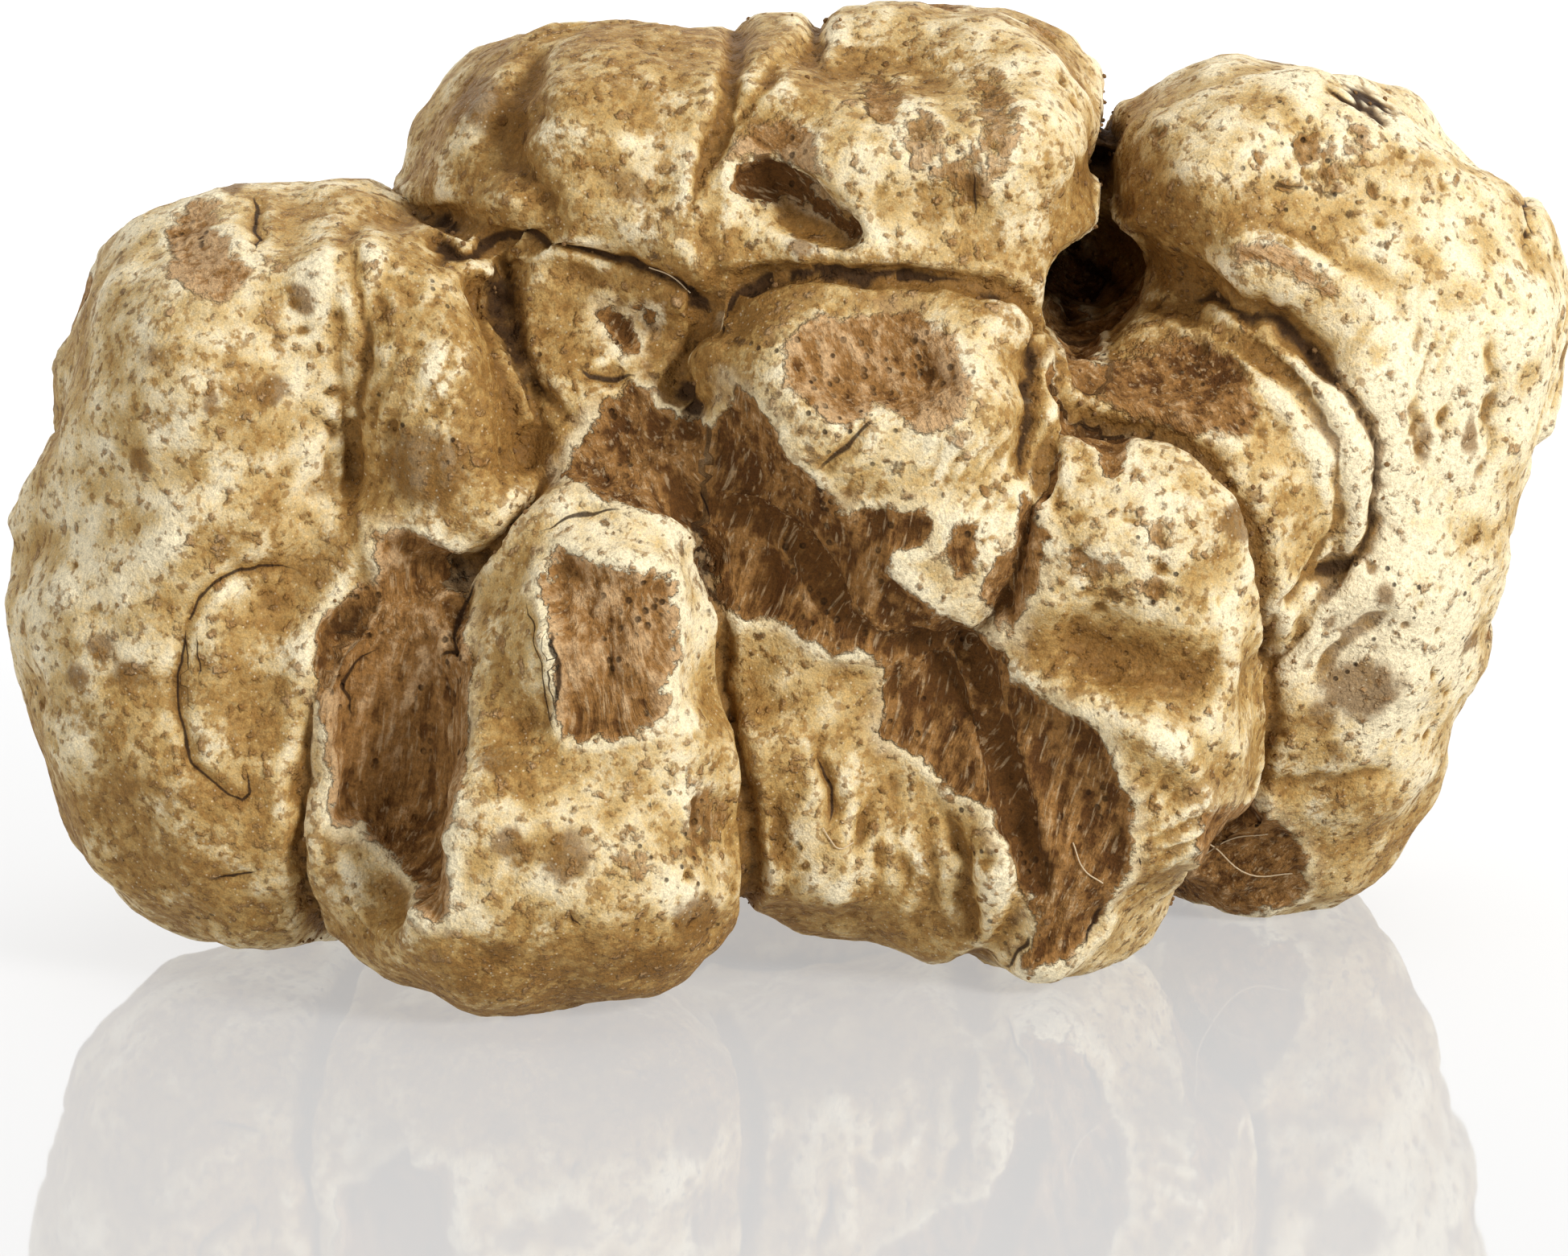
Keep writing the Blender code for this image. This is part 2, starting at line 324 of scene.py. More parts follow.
def meshEdges(mesh):
    edges = np.empty(len(mesh.edges) * 2, np.int32)
    mesh.edges.foreach_get("vertices", edges)
    return edges.reshape(-1, 2)


def fitToSkin(mesh, steps, relaxing):
    # evens out the points, then slides each one down the slope of the skin until it lies on it
    points = averaged(meshPoints(mesh), meshEdges(mesh), relaxing)
    probe = 0.1
    for _ in range(steps):
        distance = bodyDistance(points)
        slope = np.stack(
            [(bodyDistance(points + side) - distance) / probe for side in np.eye(3) * probe], axis=1
        )
        steepness = np.maximum((slope**2).sum(axis=1), 0.3)
        points -= 0.8 * np.clip(slope * (distance / steepness)[:, None], -0.8, 0.8)
    setMeshPoints(mesh, points)


def keepLargestShell(bm):
    left = set(bm.verts)
    shells = []
    while left:
        shell = {left.pop()}
        rim = list(shell)
        while rim:
            for edge in rim.pop().link_edges:
                for vert in edge.verts:
                    if vert in left:
                        left.remove(vert)
                        shell.add(vert)
                        rim.append(vert)
        shells.append(shell)
    largest = max(shells, key=len)
    bmesh.ops.delete(bm, geom=[vert for vert in bm.verts if vert not in largest], context="VERTS")


def growBody():
    bm = bmesh.new()
    for _, _, _, _, balls in lobes:
        for centre, half, lean in balls:
            place = Matrix.Translation(centre) @ Matrix.Rotation(lean, 4, "Y") @ Matrix.Diagonal((*half, 1))
            bmesh.ops.create_icosphere(bm, subdivisions=4, radius=1, matrix=place)
    mesh = bpy.data.meshes.new("truffle_body")
    bm.to_mesh(mesh)
    bm.free()
    piece = bpy.data.objects.new("truffle_body", mesh)
    bpy.context.scene.collection.objects.link(piece)
    fuse(piece, body["roughGrain"])
    fitToSkin(piece.data, 3, 4)
    fitToSkin(piece.data, 2, 2)
    report("rough skin")
    fuse(piece, body["fineGrain"])
    bm = bmesh.new()
    bm.from_mesh(piece.data)
    keepLargestShell(bm)
    bm.to_mesh(piece.data)
    bm.free()
    fitToSkin(piece.data, 1, 3)
    fitToSkin(piece.data, 2, 1)
    report(f"fine skin of {len(piece.data.vertices)} points")
    return piece


truffle = growBody()

# Marks on the skin are laid out flat, seen square on from one side: two axes, and the way that side faces.
sides = {
    "front": (0, 2, (0, -0.97, 0.22)),
    "back": (0, 2, (0, 0.97, 0.22)),
    "left": (1, 2, (-0.97, 0, 0.22)),
    "right": (1, 2, (0.97, 0, 0.22)),
    "top": (0, 1, (0, 0, 1)),
}

# Where the skin is torn away and the flesh shows: side, depth in mm, lean of the fibres in degrees,
# how pale the flesh is from -1 to 1, how softly the torn edge fades in mm, outline
tears = {
    "slowWander": 0.55,  # how far a torn edge strays, mm
    "quickWander": 0.3,
    "slowSize": 3.4,
    "quickSize": 1.2,
    "rimHeight": 0.3,
    "rimWidth": 0.5,
    "roughHeight": 0.3,
    "shapes": [
        ("front", 0.3, 20, 1.0, 1.3, [
            (-41.7, 50.8), (-41.2, 51.8), (-39.3, 52.2), (-37.5, 51.2), (-35.7, 49.9),
            (-36, 49.1), (-37.3, 48), (-38.3, 47.6), (-39.8, 48.3), (-41, 49.3)]),
        ("front", 1.2, -8, 0.45, 0.9, [
            (-27.5, 32.4), (-25.8, 32.8), (-23.7, 32.3), (-22.6, 31.2), (-22.7, 29), (-21.4, 28.7),
            (-21.2, 24), (-21.4, 18.5), (-22.3, 14), (-22.2, 8.5), (-23.9, 8.3), (-26.9, 11),
            (-28.6, 12.7), (-29.8, 12.9), (-30.7, 18.5), (-31.4, 24), (-31, 26.5), (-29.3, 28),
            (-27.5, 28.8), (-27, 30)]),
        ("front", 2.2, 12, 0.5, 0.6, [
            (-15.7, 31.3), (-14.9, 32.2), (-11.6, 31.6), (-7.8, 30.7), (-7.3, 29.7), (-7.3, 25),
            (-8.4, 21.8), (-11, 20), (-13.3, 19.9), (-14.4, 20.2), (-15.4, 24.2), (-15.2, 26.4),
            (-16.1, 29.4)]),
        ("front", 0.7, -30, -0.1, 0.6, [
            (-12.9, 46.8), (-11.8, 46.9), (-9.8, 45), (-9.4, 43.8), (-10.6, 44), (-12.5, 46)]),
        ("front", 0.5, -30, 0, 0.5, [(-10, 46.8), (-8.9, 46.6), (-8.5, 45.5), (-9.5, 46)]),
        ("front", 0.8, 25, -0.3, 0.8, [
            (-15, 35.9), (-13.5, 38.2), (-12, 40.9), (-9.9, 41.7), (-8, 40.3), (-5.4, 39.8),
            (-5, 36), (-5.5, 32.2), (-8.7, 34.2), (-12.9, 35.5)]),
        ("front", 0.9, -14, -0.5, 1.0, [
            (-5.4, 39.8), (-3.8, 41.3), (-3.5, 42.4), (-1.9, 42), (0, 38.5), (2.8, 36), (4, 34),
            (5.4, 35), (8.6, 34.8), (9.8, 34.1), (9.1, 32.4), (7.5, 32), (7.2, 29.8), (11, 27.3),
            (13, 25.5), (15, 24.7), (15.3, 22.6), (18, 21), (21.1, 19.5), (23.4, 14.9),
            (23.5, 11.4), (21.7, 6), (18.9, 2.6), (16.1, 2.6), (17.1, 5.4), (15.9, 9.3),
            (13.9, 14.2), (11.5, 14.8), (8.5, 17), (6.3, 18.7), (7.1, 20.1), (6.9, 23.3),
            (5.8, 25.1), (3.1, 24.4), (0, 26.2), (-4.1, 27.2), (-5, 30.6), (-6, 34)]),
        ("front", 1.0, 60, -0.6, 0.5, [
            (-3, 56.3), (-1.5, 56.9), (0.3, 56.1), (3.3, 54.2), (4.8, 52.8), (5, 52), (3.6, 52.2),
            (0.6, 54.1), (-1.2, 54.4), (-3.3, 55)]),
        ("front", 0.3, 50, 0.6, 1.6, [
            (-3.9, 57.3), (-2.1, 59), (0.3, 59.3), (2.1, 58.4), (2.4, 56.2), (0.6, 56.4),
            (-1.5, 57.2), (-3, 56.6)]),
        ("front", 0.5, 20, 0.6, 1.3, [
            (0.2, 43), (0.2, 45.1), (1.9, 46.9), (5.9, 47.2), (8.6, 47.2), (10.6, 45.8),
            (12, 44.6), (12.6, 43.4), (11.5, 41), (9.8, 40.1), (7.2, 41.8), (5.9, 41.8),
            (4.2, 40.3), (2.8, 41)]),
        ("front", 0.4, 10, -0.1, 1.2, [
            (10.5, 32.2), (11.5, 33.8), (12.9, 34), (13.1, 32.3), (12.4, 30.5), (11.5, 29.8)]),
        ("front", 0.5, 6, -0.1, 1.0, [
            (16, 35), (15.1, 32), (13.9, 30.8), (13, 28.9), (13.9, 28), (15.3, 25.5), (16.3, 27.9),
            (17.3, 29.9), (17.5, 33), (16.8, 34.6)]),
        ("front", 0.3, 30, -0.3, 1.8, [
            (21.1, 41.8), (22.2, 42.8), (24.4, 43.7), (26.9, 44.2), (29.8, 43.8), (31.1, 43),
            (32.4, 39.8), (30.5, 38.3), (29.2, 39.2), (26.9, 38.6), (23.1, 39.8), (21.6, 40.9)]),
        ("front", 0.35, 60, 0.3, 1.8, [
            (30.2, 51.1), (32.8, 51), (35.2, 50), (37.2, 48.4), (37.4, 47.3), (35.6, 48),
            (33.2, 49.2), (30.8, 50)]),
        ("front", 0.5, -35, -0.4, 1.2, [
            (28, 14), (30.5, 12.8), (33, 10.5), (35.5, 8), (37, 5), (36.5, 2), (33, 0.5), (27, 0.5)]),
        ("back", 1.0, 30, -0.1, 0.8, [
            (-6, 31), (-3, 33.5), (2, 33), (6, 31), (11, 31.5), (14, 29), (13, 25.5), (9, 24),
            (4, 25.5), (0, 24.5), (-4, 26.5)]),
        ("back", 0.9, 5, 0.3, 0.7, [
            (17, 43), (20, 44.5), (23, 42), (23.5, 37), (21.5, 33.5), (18, 33), (16, 37)]),
        ("back", 0.6, -20, 0.4, 1.2, [
            (-33, 30), (-30, 31.5), (-27.5, 29), (-28, 24), (-31, 21.5), (-34, 24.5)]),
        ("back", 0.7, 40, -0.2, 0.8, [(-12, 50), (-9, 51), (-6, 49.5), (-5, 47), (-8, 46.5), (-11, 48)]),
        ("back", 0.5, 0, 0.2, 1.2, [(25, 17), (28, 18), (30, 14), (28.5, 9), (26, 10), (24.5, 13.5)]),
        ("left", 0.7, 15, 0.2, 0.9, [(2, 27), (5, 29.5), (8.5, 28), (9.5, 22), (7.5, 16.5), (3.5, 17), (1.5, 21)]),
        ("left", 0.5, -20, 0.5, 1.2, [(-5, 46), (-1.5, 47.5), (1, 45), (0, 41.5), (-3.5, 41.5)]),
        ("right", 0.6, 10, 0.3, 1.1, [(5, 45), (9, 47), (12, 44), (12, 38.5), (8.5, 36), (5.5, 39)]),
        ("right", 0.5, -15, 0, 1.2, [(-3, 27), (0, 28.5), (2.5, 25), (1.5, 20.5), (-1.5, 21)]),
        ("top", 0.5, 0, 0.3, 1.2, [(6, 7), (10, 9), (13, 7.5), (12, 3.5), (8, 2.5)]),
    ],
}


def smoothStep(low, high, value):
    t = np.clip((value - low) / (high - low), 0, 1)
    return t * t * (3 - 2 * t)


def cloud(points, size, seed=0, octaves=3):
    # slow noise from about -1 to 1, its lumps about size mm across
    shift = Vector((37.1 * seed, 11.7 * seed, 5.3 * seed))
    return np.array([
        noise.fractal(Vector(point) + shift, 0.9, 2.0, octaves) for point in (points / size).tolist()
    ])


def stray(points, size, seed):
    shift = Vector((7.9 * seed, 3.1 * seed, 9.7 * seed))
    return np.array([noise.noise_vector(Vector(point) + shift) for point in (points / size).tolist()])


def closeTo(flat, outline, margin):
    low = outline.min(axis=0) - margin
    high = outline.max(axis=0) + margin
    return np.nonzero(((flat > low) & (flat < high)).all(axis=1))[0]


def lineDistance(flat, line):
    # distance to a drawn line, below zero on its right, how far along it, and its length
    nearest = np.full(len(flat), 1e9)
    hand = np.ones(len(flat))
    along = np.zeros(len(flat))
    done = 0
    for start, end in zip(line[:-1], line[1:]):
        run = end - start
        length = math.hypot(*run)
        away = flat - start
        t = np.clip((away @ run) / length**2, 0, 1)
        gap = away - t[:, None] * run
        distance = np.hypot(gap[:, 0], gap[:, 1])
        closer = distance < nearest
        nearest = np.where(closer, distance, nearest)
        hand = np.where(closer, np.sign(run[0] * away[:, 1] - run[1] * away[:, 0] + 1e-9), hand)
        along = np.where(closer, done + t * length, along)
        done += length
    return nearest * hand, along, done


def depthInside(flat, outline):
    # distance to a closed outline, above zero inside it
    distance = np.abs(lineDistance(flat, np.vstack([outline, outline[:1]]))[0])
    inside = np.zeros(len(flat), bool)
    for (u0, v0), (u1, v1) in zip(outline, np.roll(outline, -1, axis=0)):
        if v0 != v1:
            crosses = (v0 > flat[:, 1]) != (v1 > flat[:, 1])
            inside ^= crosses & (flat[:, 0] < (u1 - u0) * (flat[:, 1] - v0) / (v1 - v0) + u0)
    return np.where(inside, distance, -distance)


class Skin:
    pass


def flattened(skin):
    # the points as each side sees them, strayed a little so that drawn edges come out ragged
    strayed = skin.points + tears["slowWander"] * stray(skin.points, tears["slowSize"], 1)
    strayed += tears["quickWander"] * stray(skin.points, tears["quickSize"], 2)
    skin.flat = {}
    skin.facing = {}
    skin.turned = {}
    for name, (across, up, way) in sides.items():
        skin.flat[name] = strayed[:, (across, up)]
        skin.facing[name] = smoothStep(-0.05, 0.2, skin.normals @ np.array(way))
        skin.turned[name] = smoothStep(-0.7, -0.4, skin.normals @ np.array(way))


def tearSkin(skin):
    count = len(skin.points)
    skin.flesh = np.full(count, -4.0)
    skin.fleshTone = np.zeros(count)
    skin.edge = np.ones(count)
    skin.grain = skin.points.copy()
    depth = np.zeros(count)
    for side, deep, lean, pale, soft, outline in tears["shapes"]:
        outline = np.array(outline, float)
        at = closeTo(skin.flat[side], outline, 4)
        at = at[skin.turned[side][at] > 0]
        inside = np.clip(depthInside(skin.flat[side][at], outline), -4, 4)
        inside = inside * skin.turned[side][at] - 4 * (1 - skin.turned[side][at])
        own = inside > skin.flesh[at]
        depth[at] = np.where(own, deep, depth[at])
        skin.fleshTone[at] = np.where(own, pale, skin.fleshTone[at])
        skin.edge[at] = np.where(own, soft, skin.edge[at])
        turned = skin.points[at] @ np.array(Matrix.Rotation(math.radians(-lean), 3, "Y"))
        skin.grain[at] = np.where(own[:, None], turned, skin.grain[at])
        skin.flesh[at] = np.where(own, inside, skin.flesh[at])
    bowl = smoothStep(0, 4, skin.flesh)
    sunk = smoothStep(-0.15, 0.9, skin.flesh / np.maximum(skin.edge, 0.6))
    rim = np.exp(-(((skin.flesh + 0.4) / tears["rimWidth"]) ** 2)) / np.maximum(1, 1.6 * skin.edge)
    fibres = skin.grain * np.array((1, 1, 0.3))
    rough = cloud(fibres, 1.4, 3, 3) + 0.5 * cloud(fibres, 0.7, 4, 1)
    broken = 0.6 + 1.2 * cloud(skin.points, 3, 5, 2)
    skin.height += sunk * (tears["roughHeight"] * rough - 0.6 * depth) - 0.8 * depth * bowl
    skin.height += tears["rimHeight"] * rim * (1 - sunk) * np.clip(broken, 0, 1.4)


# Thin cracks: side, width and depth in mm, points along the line
cracks = {
    "lines": [
        ("front", 0.2, 0.5, [(-36.2, 52.7), (-35.8, 51.8), (-35.5, 50.7)]),
        ("front", 0.17, 0.45, [
            (-32.7, 29.6), (-34, 30.1), (-35, 30.3), (-36.7, 29.7), (-38.3, 28.7), (-39.7, 27),
            (-40.5, 25.4), (-40.9, 23.4), (-40.7, 21.4), (-40.3, 19), (-39.7, 17), (-38.7, 15.5),
            (-37.5, 14.6), (-36.7, 14.3), (-36.2, 15), (-36.2, 16), (-36.4, 17)]),
        ("front", 0.12, 0.2, [(-39.3, 26.3), (-39.5, 24.3), (-39.3, 22.5)]),
        ("front", 0.2, 0.4, [(-39.2, 8.7), (-37.3, 8.9), (-35.7, 9.7)]),
        ("front", 0.3, 0.7, [(-20.5, 29.5), (-21.3, 28.6), (-22.7, 26), (-23.6, 25.3), (-24.5, 24)]),
        ("front", 0.16, 0.4, [(-27, 24.6), (-28.1, 23.8), (-28.8, 22.4), (-28.9, 21), (-28.7, 19)]),
        ("front", 0.25, 0.5, [(-15.6, 27.8), (-15.2, 25.6), (-15.2, 23.1), (-14.9, 21.4)]),
        ("front", 0.12, 0.2, [(-16.9, 29.3), (-16.3, 25), (-15.8, 22), (-14.6, 20)]),
        ("front", 0.14, 0.3, [(-16.2, 32.6), (-15, 33.4), (-13.5, 34), (-12, 34.4), (-10.4, 34.6)]),
        ("front", 0.25, 0.5, [(-14.1, 43.3), (-13.1, 42.5), (-11.4, 42.2), (-9.5, 42.1)]),
        ("front", 0.3, 0.7, [
            (6.4, 41.3), (5.6, 40.7), (4.9, 39.8), (4.2, 39), (3.4, 38.5), (2.7, 38), (2.1, 37.4)]),
        ("front", 0.16, 0.3, [(2.5, 17.6), (3.2, 14.5), (2.9, 12.3)]),
        ("front", 0.3, 0.6, [(21.9, 7.2), (21.2, 5.2), (20, 3.4)]),
        ("front", 0.25, 0.5, [(16.7, 5), (15.6, 2.8), (15.1, 1.5)]),
        ("front", 0.16, 0.3, [(23.8, 10.8), (24.1, 10.2), (24, 9.8)]),
        ("front", 0.3, 0.3, [(37.3, 61), (38.8, 60.3), (40.2, 59.6), (41.3, 58.8), (42.3, 58)]),
        ("front", 0.25, 0.4, [(51.4, 50.8), (52.2, 50)]),
        ("front", 0.16, 0.3, [(12.7, 56.7), (12.8, 55), (12.7, 53)]),
        ("front", 0.12, 0.2, [(-5.9, 35.2), (-5.5, 34), (-5.1, 32.6)]),
        ("front", 0.14, 0.2, [(-14.5, 9.2), (-13.9, 8.6), (-13.2, 8.4)]),
        ("back", 0.22, 0.5, [(-22, 44), (-24, 40), (-24.5, 36), (-23, 32), (-21.5, 31)]),
        ("back", 0.2, 0.4, [(24, 27), (28, 26), (31, 23), (32, 20)]),
        ("back", 0.2, 0.4, [(4, 12), (7, 10), (8, 7), (7.5, 5)]),
        ("back", 0.25, 0.5, [(8, 56), (11, 55), (13, 53), (13.5, 51)]),
        ("left", 0.22, 0.5, [(-8, 34), (-6, 36), (-2, 36.5), (1, 35), (2, 33)]),
        ("left", 0.2, 0.4, [(12, 22), (14, 19), (14.5, 15)]),
        ("right", 0.22, 0.5, [(-3, 50), (0, 52), (4, 52.5), (8, 51)]),
        ("right", 0.2, 0.4, [(8, 30), (11, 28), (13, 24.5)]),
        ("top", 0.2, 0.4, [(-14, 10), (-12, 6), (-11.5, 3)]),
    ],
}

# Deep creases where two lobes meet: side, half width and depth in mm, how much soil and painted shade lies in them,
# points
creases = {
    "lines": [
        ("front", 0.6, 1.6, 1.0, [
            (-24.5, 51.8), (-21.9, 50.9), (-20.1, 51), (-18, 51), (-16, 50.9), (-14.6, 50.4),
            (-13, 49.9), (-11.2, 49.6), (-9.5, 49.2), (-7.9, 48.7), (-6.6, 48), (-5.8, 46.8),
            (-5.3, 45.6)]),
        ("front", 0.3, 1.2, 1.0, [
            (-5, 45.3), (-4.1, 46.9), (-3, 48.6), (-1.5, 49.1), (0.5, 49.4), (3, 49.5), (6, 49.4),
            (9, 49.3), (12, 49), (14, 48.5), (15.5, 47.7)]),
        ("front", 0.4, 0.9, 0.9, [(17.2, 46.5), (16.6, 44.5), (16.6, 42), (16.6, 40), (16.2, 38), (16.2, 36)]),
        # the two wide, shallow creases below mostly paint shade, left of the arch and above the shell
        ("front", 1.6, 0.6, 0.7, [(20.5, 57), (21.8, 54), (23.5, 51.3), (26, 48.8), (29, 47.6)]),
        ("front", 1.4, 0.6, 0.8, [(18.5, 43.5), (20.5, 44.6), (23, 45.3)]),
        ("front", 0.6, 1.5, 0.9, [
            (25.9, 46), (28.2, 47), (30.8, 46), (33.1, 45.5), (35.9, 43.8), (37.7, 42),
            (39.4, 39.5), (40.5, 37), (40.9, 34.3), (40.7, 31.8), (39.4, 29.7), (37.3, 28.2),
            (36, 27.5)]),
        ("front", 0.8, 0.9, 0.3, [(-30.3, 14), (-30.3, 11), (-29.6, 8), (-28.8, 4.5)]),
        ("front", 0.3, 0.6, 0.5, [(30.4, 44.7), (32.4, 43.6), (34.5, 41.8), (36.3, 39.2),
                                  (37.3, 37), (37.7, 34.3), (37.5, 31.7), (36.6, 29.5),
                                  (35.6, 27.3), (34.6, 25.2)]),
        ("front", 0.6, 1.5, 1.0, [(-7, 43.2), (-7.1, 42), (-6.6, 41), (-6.4, 39.6)]),
        ("front", 0.45, 1.0, 0.35, [(-29.3, 52.5), (-28.6, 50), (-28.2, 47), (-28, 44), (-28.3, 41), (-28.9, 38)]),
        ("front", 0.35, 0.7, 0.9, [(37, 61), (38.8, 60.3), (40.2, 59.6), (41.3, 58.8), (42.6, 57.8)]),
        ("front", 0.5, 0.8, 0.6, [(-16.7, 35.8), (-17.8, 37.5), (-18.3, 40), (-18.6, 43), (-20.1, 47), (-21.5, 50)]),
        ("front", 0.6, 1.0, 0.5, [(-22.9, 31), (-21.8, 28.8), (-21.2, 26), (-21.1, 21), (-21.3, 16)]),
    ],
}

# Soft furrows, or ridges where the depth is below zero: side, half width and depth in mm, points
furrows = {
    "lines": [
        ("front", 0.5, 0.5, [(-30.8, 40.5), (-30.7, 38)]),
        ("front", 0.9, -0.6, [(-32.4, 41), (-32.3, 37), (-32.8, 33.5)]),
        ("front", 1.4, -0.6, [(-36.5, 28), (-38, 25), (-38.6, 21.5), (-38.2, 18), (-37.2, 16.3)]),
        ("front", 0.5, 0.5, [(-26.2, 50.1), (-25.5, 48.2)]),
        ("front", 0.5, 0.4, [(-27.3, 49), (-26.6, 46.2)]),
        ("front", 0.5, 0.4, [(-27.5, 41.5), (-27.2, 39.5)]),
        ("front", 0.5, 0.4, [(-26, 40.3), (-25.7, 38.4)]),
        ("front", 0.6, 0.6, [(-29.3, 40), (-28.9, 37), (-29.2, 34.5)]),
        ("front", 0.7, 0.6, [(-20.7, 49.4), (-19.8, 47.2), (-19.2, 45.5)]),
        ("front", 1.3, 1.2, [(-15.7, 62), (-17.4, 60.8), (-18.8, 59), (-19.2, 57.8), (-17.6, 55.3),
                             (-16, 53.6), (-14.5, 52.5)]),
        ("front", 0.5, 1.0, [(-3.6, 63.5), (-3.6, 61.5), (-4, 59.4), (-4.6, 57.7), (-5.5, 55.7),
                             (-5.9, 54.3), (-6.7, 53)]),
        ("front", 0.5, 0.7, [(0.3, 63.2), (-1.2, 61.6), (-2.7, 59.9), (-4, 58.3)]),
        ("front", 1.2, 0.45, [(0.3, 61.4), (4.3, 62.2), (8.4, 62.4), (12.9, 61.5)]),
        ("front", 0.5, 0.6, [(-0.4, 15.5), (-0.6, 12.5), (-0.3, 9.5)]),
        ("front", 0.5, 0.7, [(2.2, 19.3), (2.9, 16), (3.1, 12)]),
        ("front", 0.5, 0.6, [(5.1, 14.5), (5.3, 12), (5, 9.5)]),
        ("front", 0.4, 0.5, [(8.2, 10.8), (8.3, 9), (8.1, 7)]),
        ("front", 0.4, 0.45, [(6.6, 12.5), (6.7, 9), (6.4, 5)]),
        ("front", 0.35, 0.4, [(9.9, 12), (10.1, 8), (10, 4.5)]),
        ("front", 0.6, 0.9, [(11, 13.5), (11.7, 11.5), (12.3, 6.5), (12.5, 2.5)]),
        ("front", 0.9, 0.6, [(9.7, 26), (10.8, 22.4), (13.3, 20), (15, 15), (16.8, 11), (17.3, 7)]),
        ("front", 2.0, 0.9, [(17.6, 27), (19.7, 25.7), (21.6, 24.4), (24.4, 24.1), (27.5, 23),
                             (29.8, 21.8)]),
        ("front", 1.1, -0.7, [(14.9, 24.4), (16.6, 22.6), (19, 21.6), (21.3, 21), (23.8, 20),
                              (26, 18.5), (27.6, 16.6), (28.3, 13.8), (28, 9.5), (26, 5)]),
        ("front", 0.5, 0.5, [(18.2, 36.8), (18.3, 35.2), (18.6, 33.8)]),
        ("front", 0.6, 0.9, [(27.9, 48.6), (30, 47.7), (32.8, 46.4), (34.8, 45.3), (36.4, 43.8)]),
        ("front", 1.0, 0.6, [(31.3, 12.8), (34.8, 12), (39.8, 12.3), (43, 13)]),
        ("front", 0.8, 0.6, [(36.5, 20), (38.5, 23.5), (42, 26.5)]),
        ("front", 0.6, 0.5, [(42.4, 40.8), (43, 38), (43.6, 34.5)]),
        ("front", 0.6, 0.5, [(44.6, 41), (45, 38.5), (45.2, 36)]),
        ("front", 0.7, 0.5, [(47.5, 45), (48.6, 41), (48.4, 36), (47, 32)]),
        ("back", 1.0, 0.8, [(-18, 42), (-20, 36), (-19, 30), (-17, 26)]),
        ("back", 0.9, 0.7, [(12, 46), (13.5, 40), (13, 34)]),
        ("back", 1.1, 0.7, [(30, 34), (33, 30), (33, 24)]),
        ("back", 0.7, 0.6, [(-28, 16), (-25, 12), (-24, 7)]),
        ("left", 1.0, 0.7, [(-6, 12), (-2, 15), (3, 15.5), (8, 13)]),
        ("left", 0.9, -0.6, [(-8, 30), (-4, 31), (0, 30)]),
        ("left", 0.7, 0.6, [(10, 38), (12, 33), (12, 28)]),
        ("right", 1.0, 0.8, [(-4, 36), (0, 34), (5, 33.5), (10, 34)]),
        ("right", 0.8, 0.6, [(2, 18), (6, 16), (10, 16.5)]),
        ("top", 1.0, 0.7, [(4, 14), (6, 10), (5, 6)]),
        ("top", 0.8, 0.6, [(36, 10), (40, 7), (43, 6)]),
    ],
}

# Fine parallel wrinkles: side, angle of the wrinkles in degrees, their spacing and height, outline
wrinkles = {
    "patches": [
        ("front", 48, 1.3, 0.28, [
            (9, 40), (12.5, 41.5), (15.5, 39.5), (15.3, 35), (14, 31), (12.5, 29.5), (11.5, 31),
            (10.5, 34), (8.5, 36.5)]),
        ("front", 84, 2.2, 0.15, [(-3, 16), (4, 18), (10, 15), (12, 9), (11, 3), (0, 4)]),
        ("front", 70, 1.8, 0.2, [(-29, 51), (-25, 52), (-22, 46), (-20, 37), (-24, 33), (-29, 40)]),
        ("front", 55, 1.7, 0.28, [(31, 29), (36, 31), (40, 27), (37, 21), (32, 20)]),
        ("front", 60, 1.5, 0.16, [(38, 46), (46, 50), (50, 42), (48, 30), (42, 30), (40, 38)]),
        ("front", 20, 1.4, 0.18, [(17, 27), (22, 25.5), (29, 23.5), (30, 20.5), (22, 22), (18, 24)]),
        ("front", 40, 1.5, 0.2, [(22, 17), (29, 19), (30, 8), (26, 3), (23, 8)]),
        ("back", 65, 1.7, 0.2, [(-14, 44), (-4, 46), (0, 38), (-4, 34), (-12, 34)]),
        ("back", 30, 1.6, 0.2, [(28, 46), (40, 46), (44, 36), (36, 30), (29, 36)]),
        ("left", 75, 1.8, 0.2, [(6, 42), (16, 40), (18, 30), (10, 28), (6, 33)]),
        ("right", 60, 1.7, 0.22, [(-6, 46), (4, 44), (4, 32), (-6, 32)]),
        ("top", 20, 1.8, 0.2, [(-20, 8), (-8, 10), (-6, 0), (-18, -2)]),
    ],
}


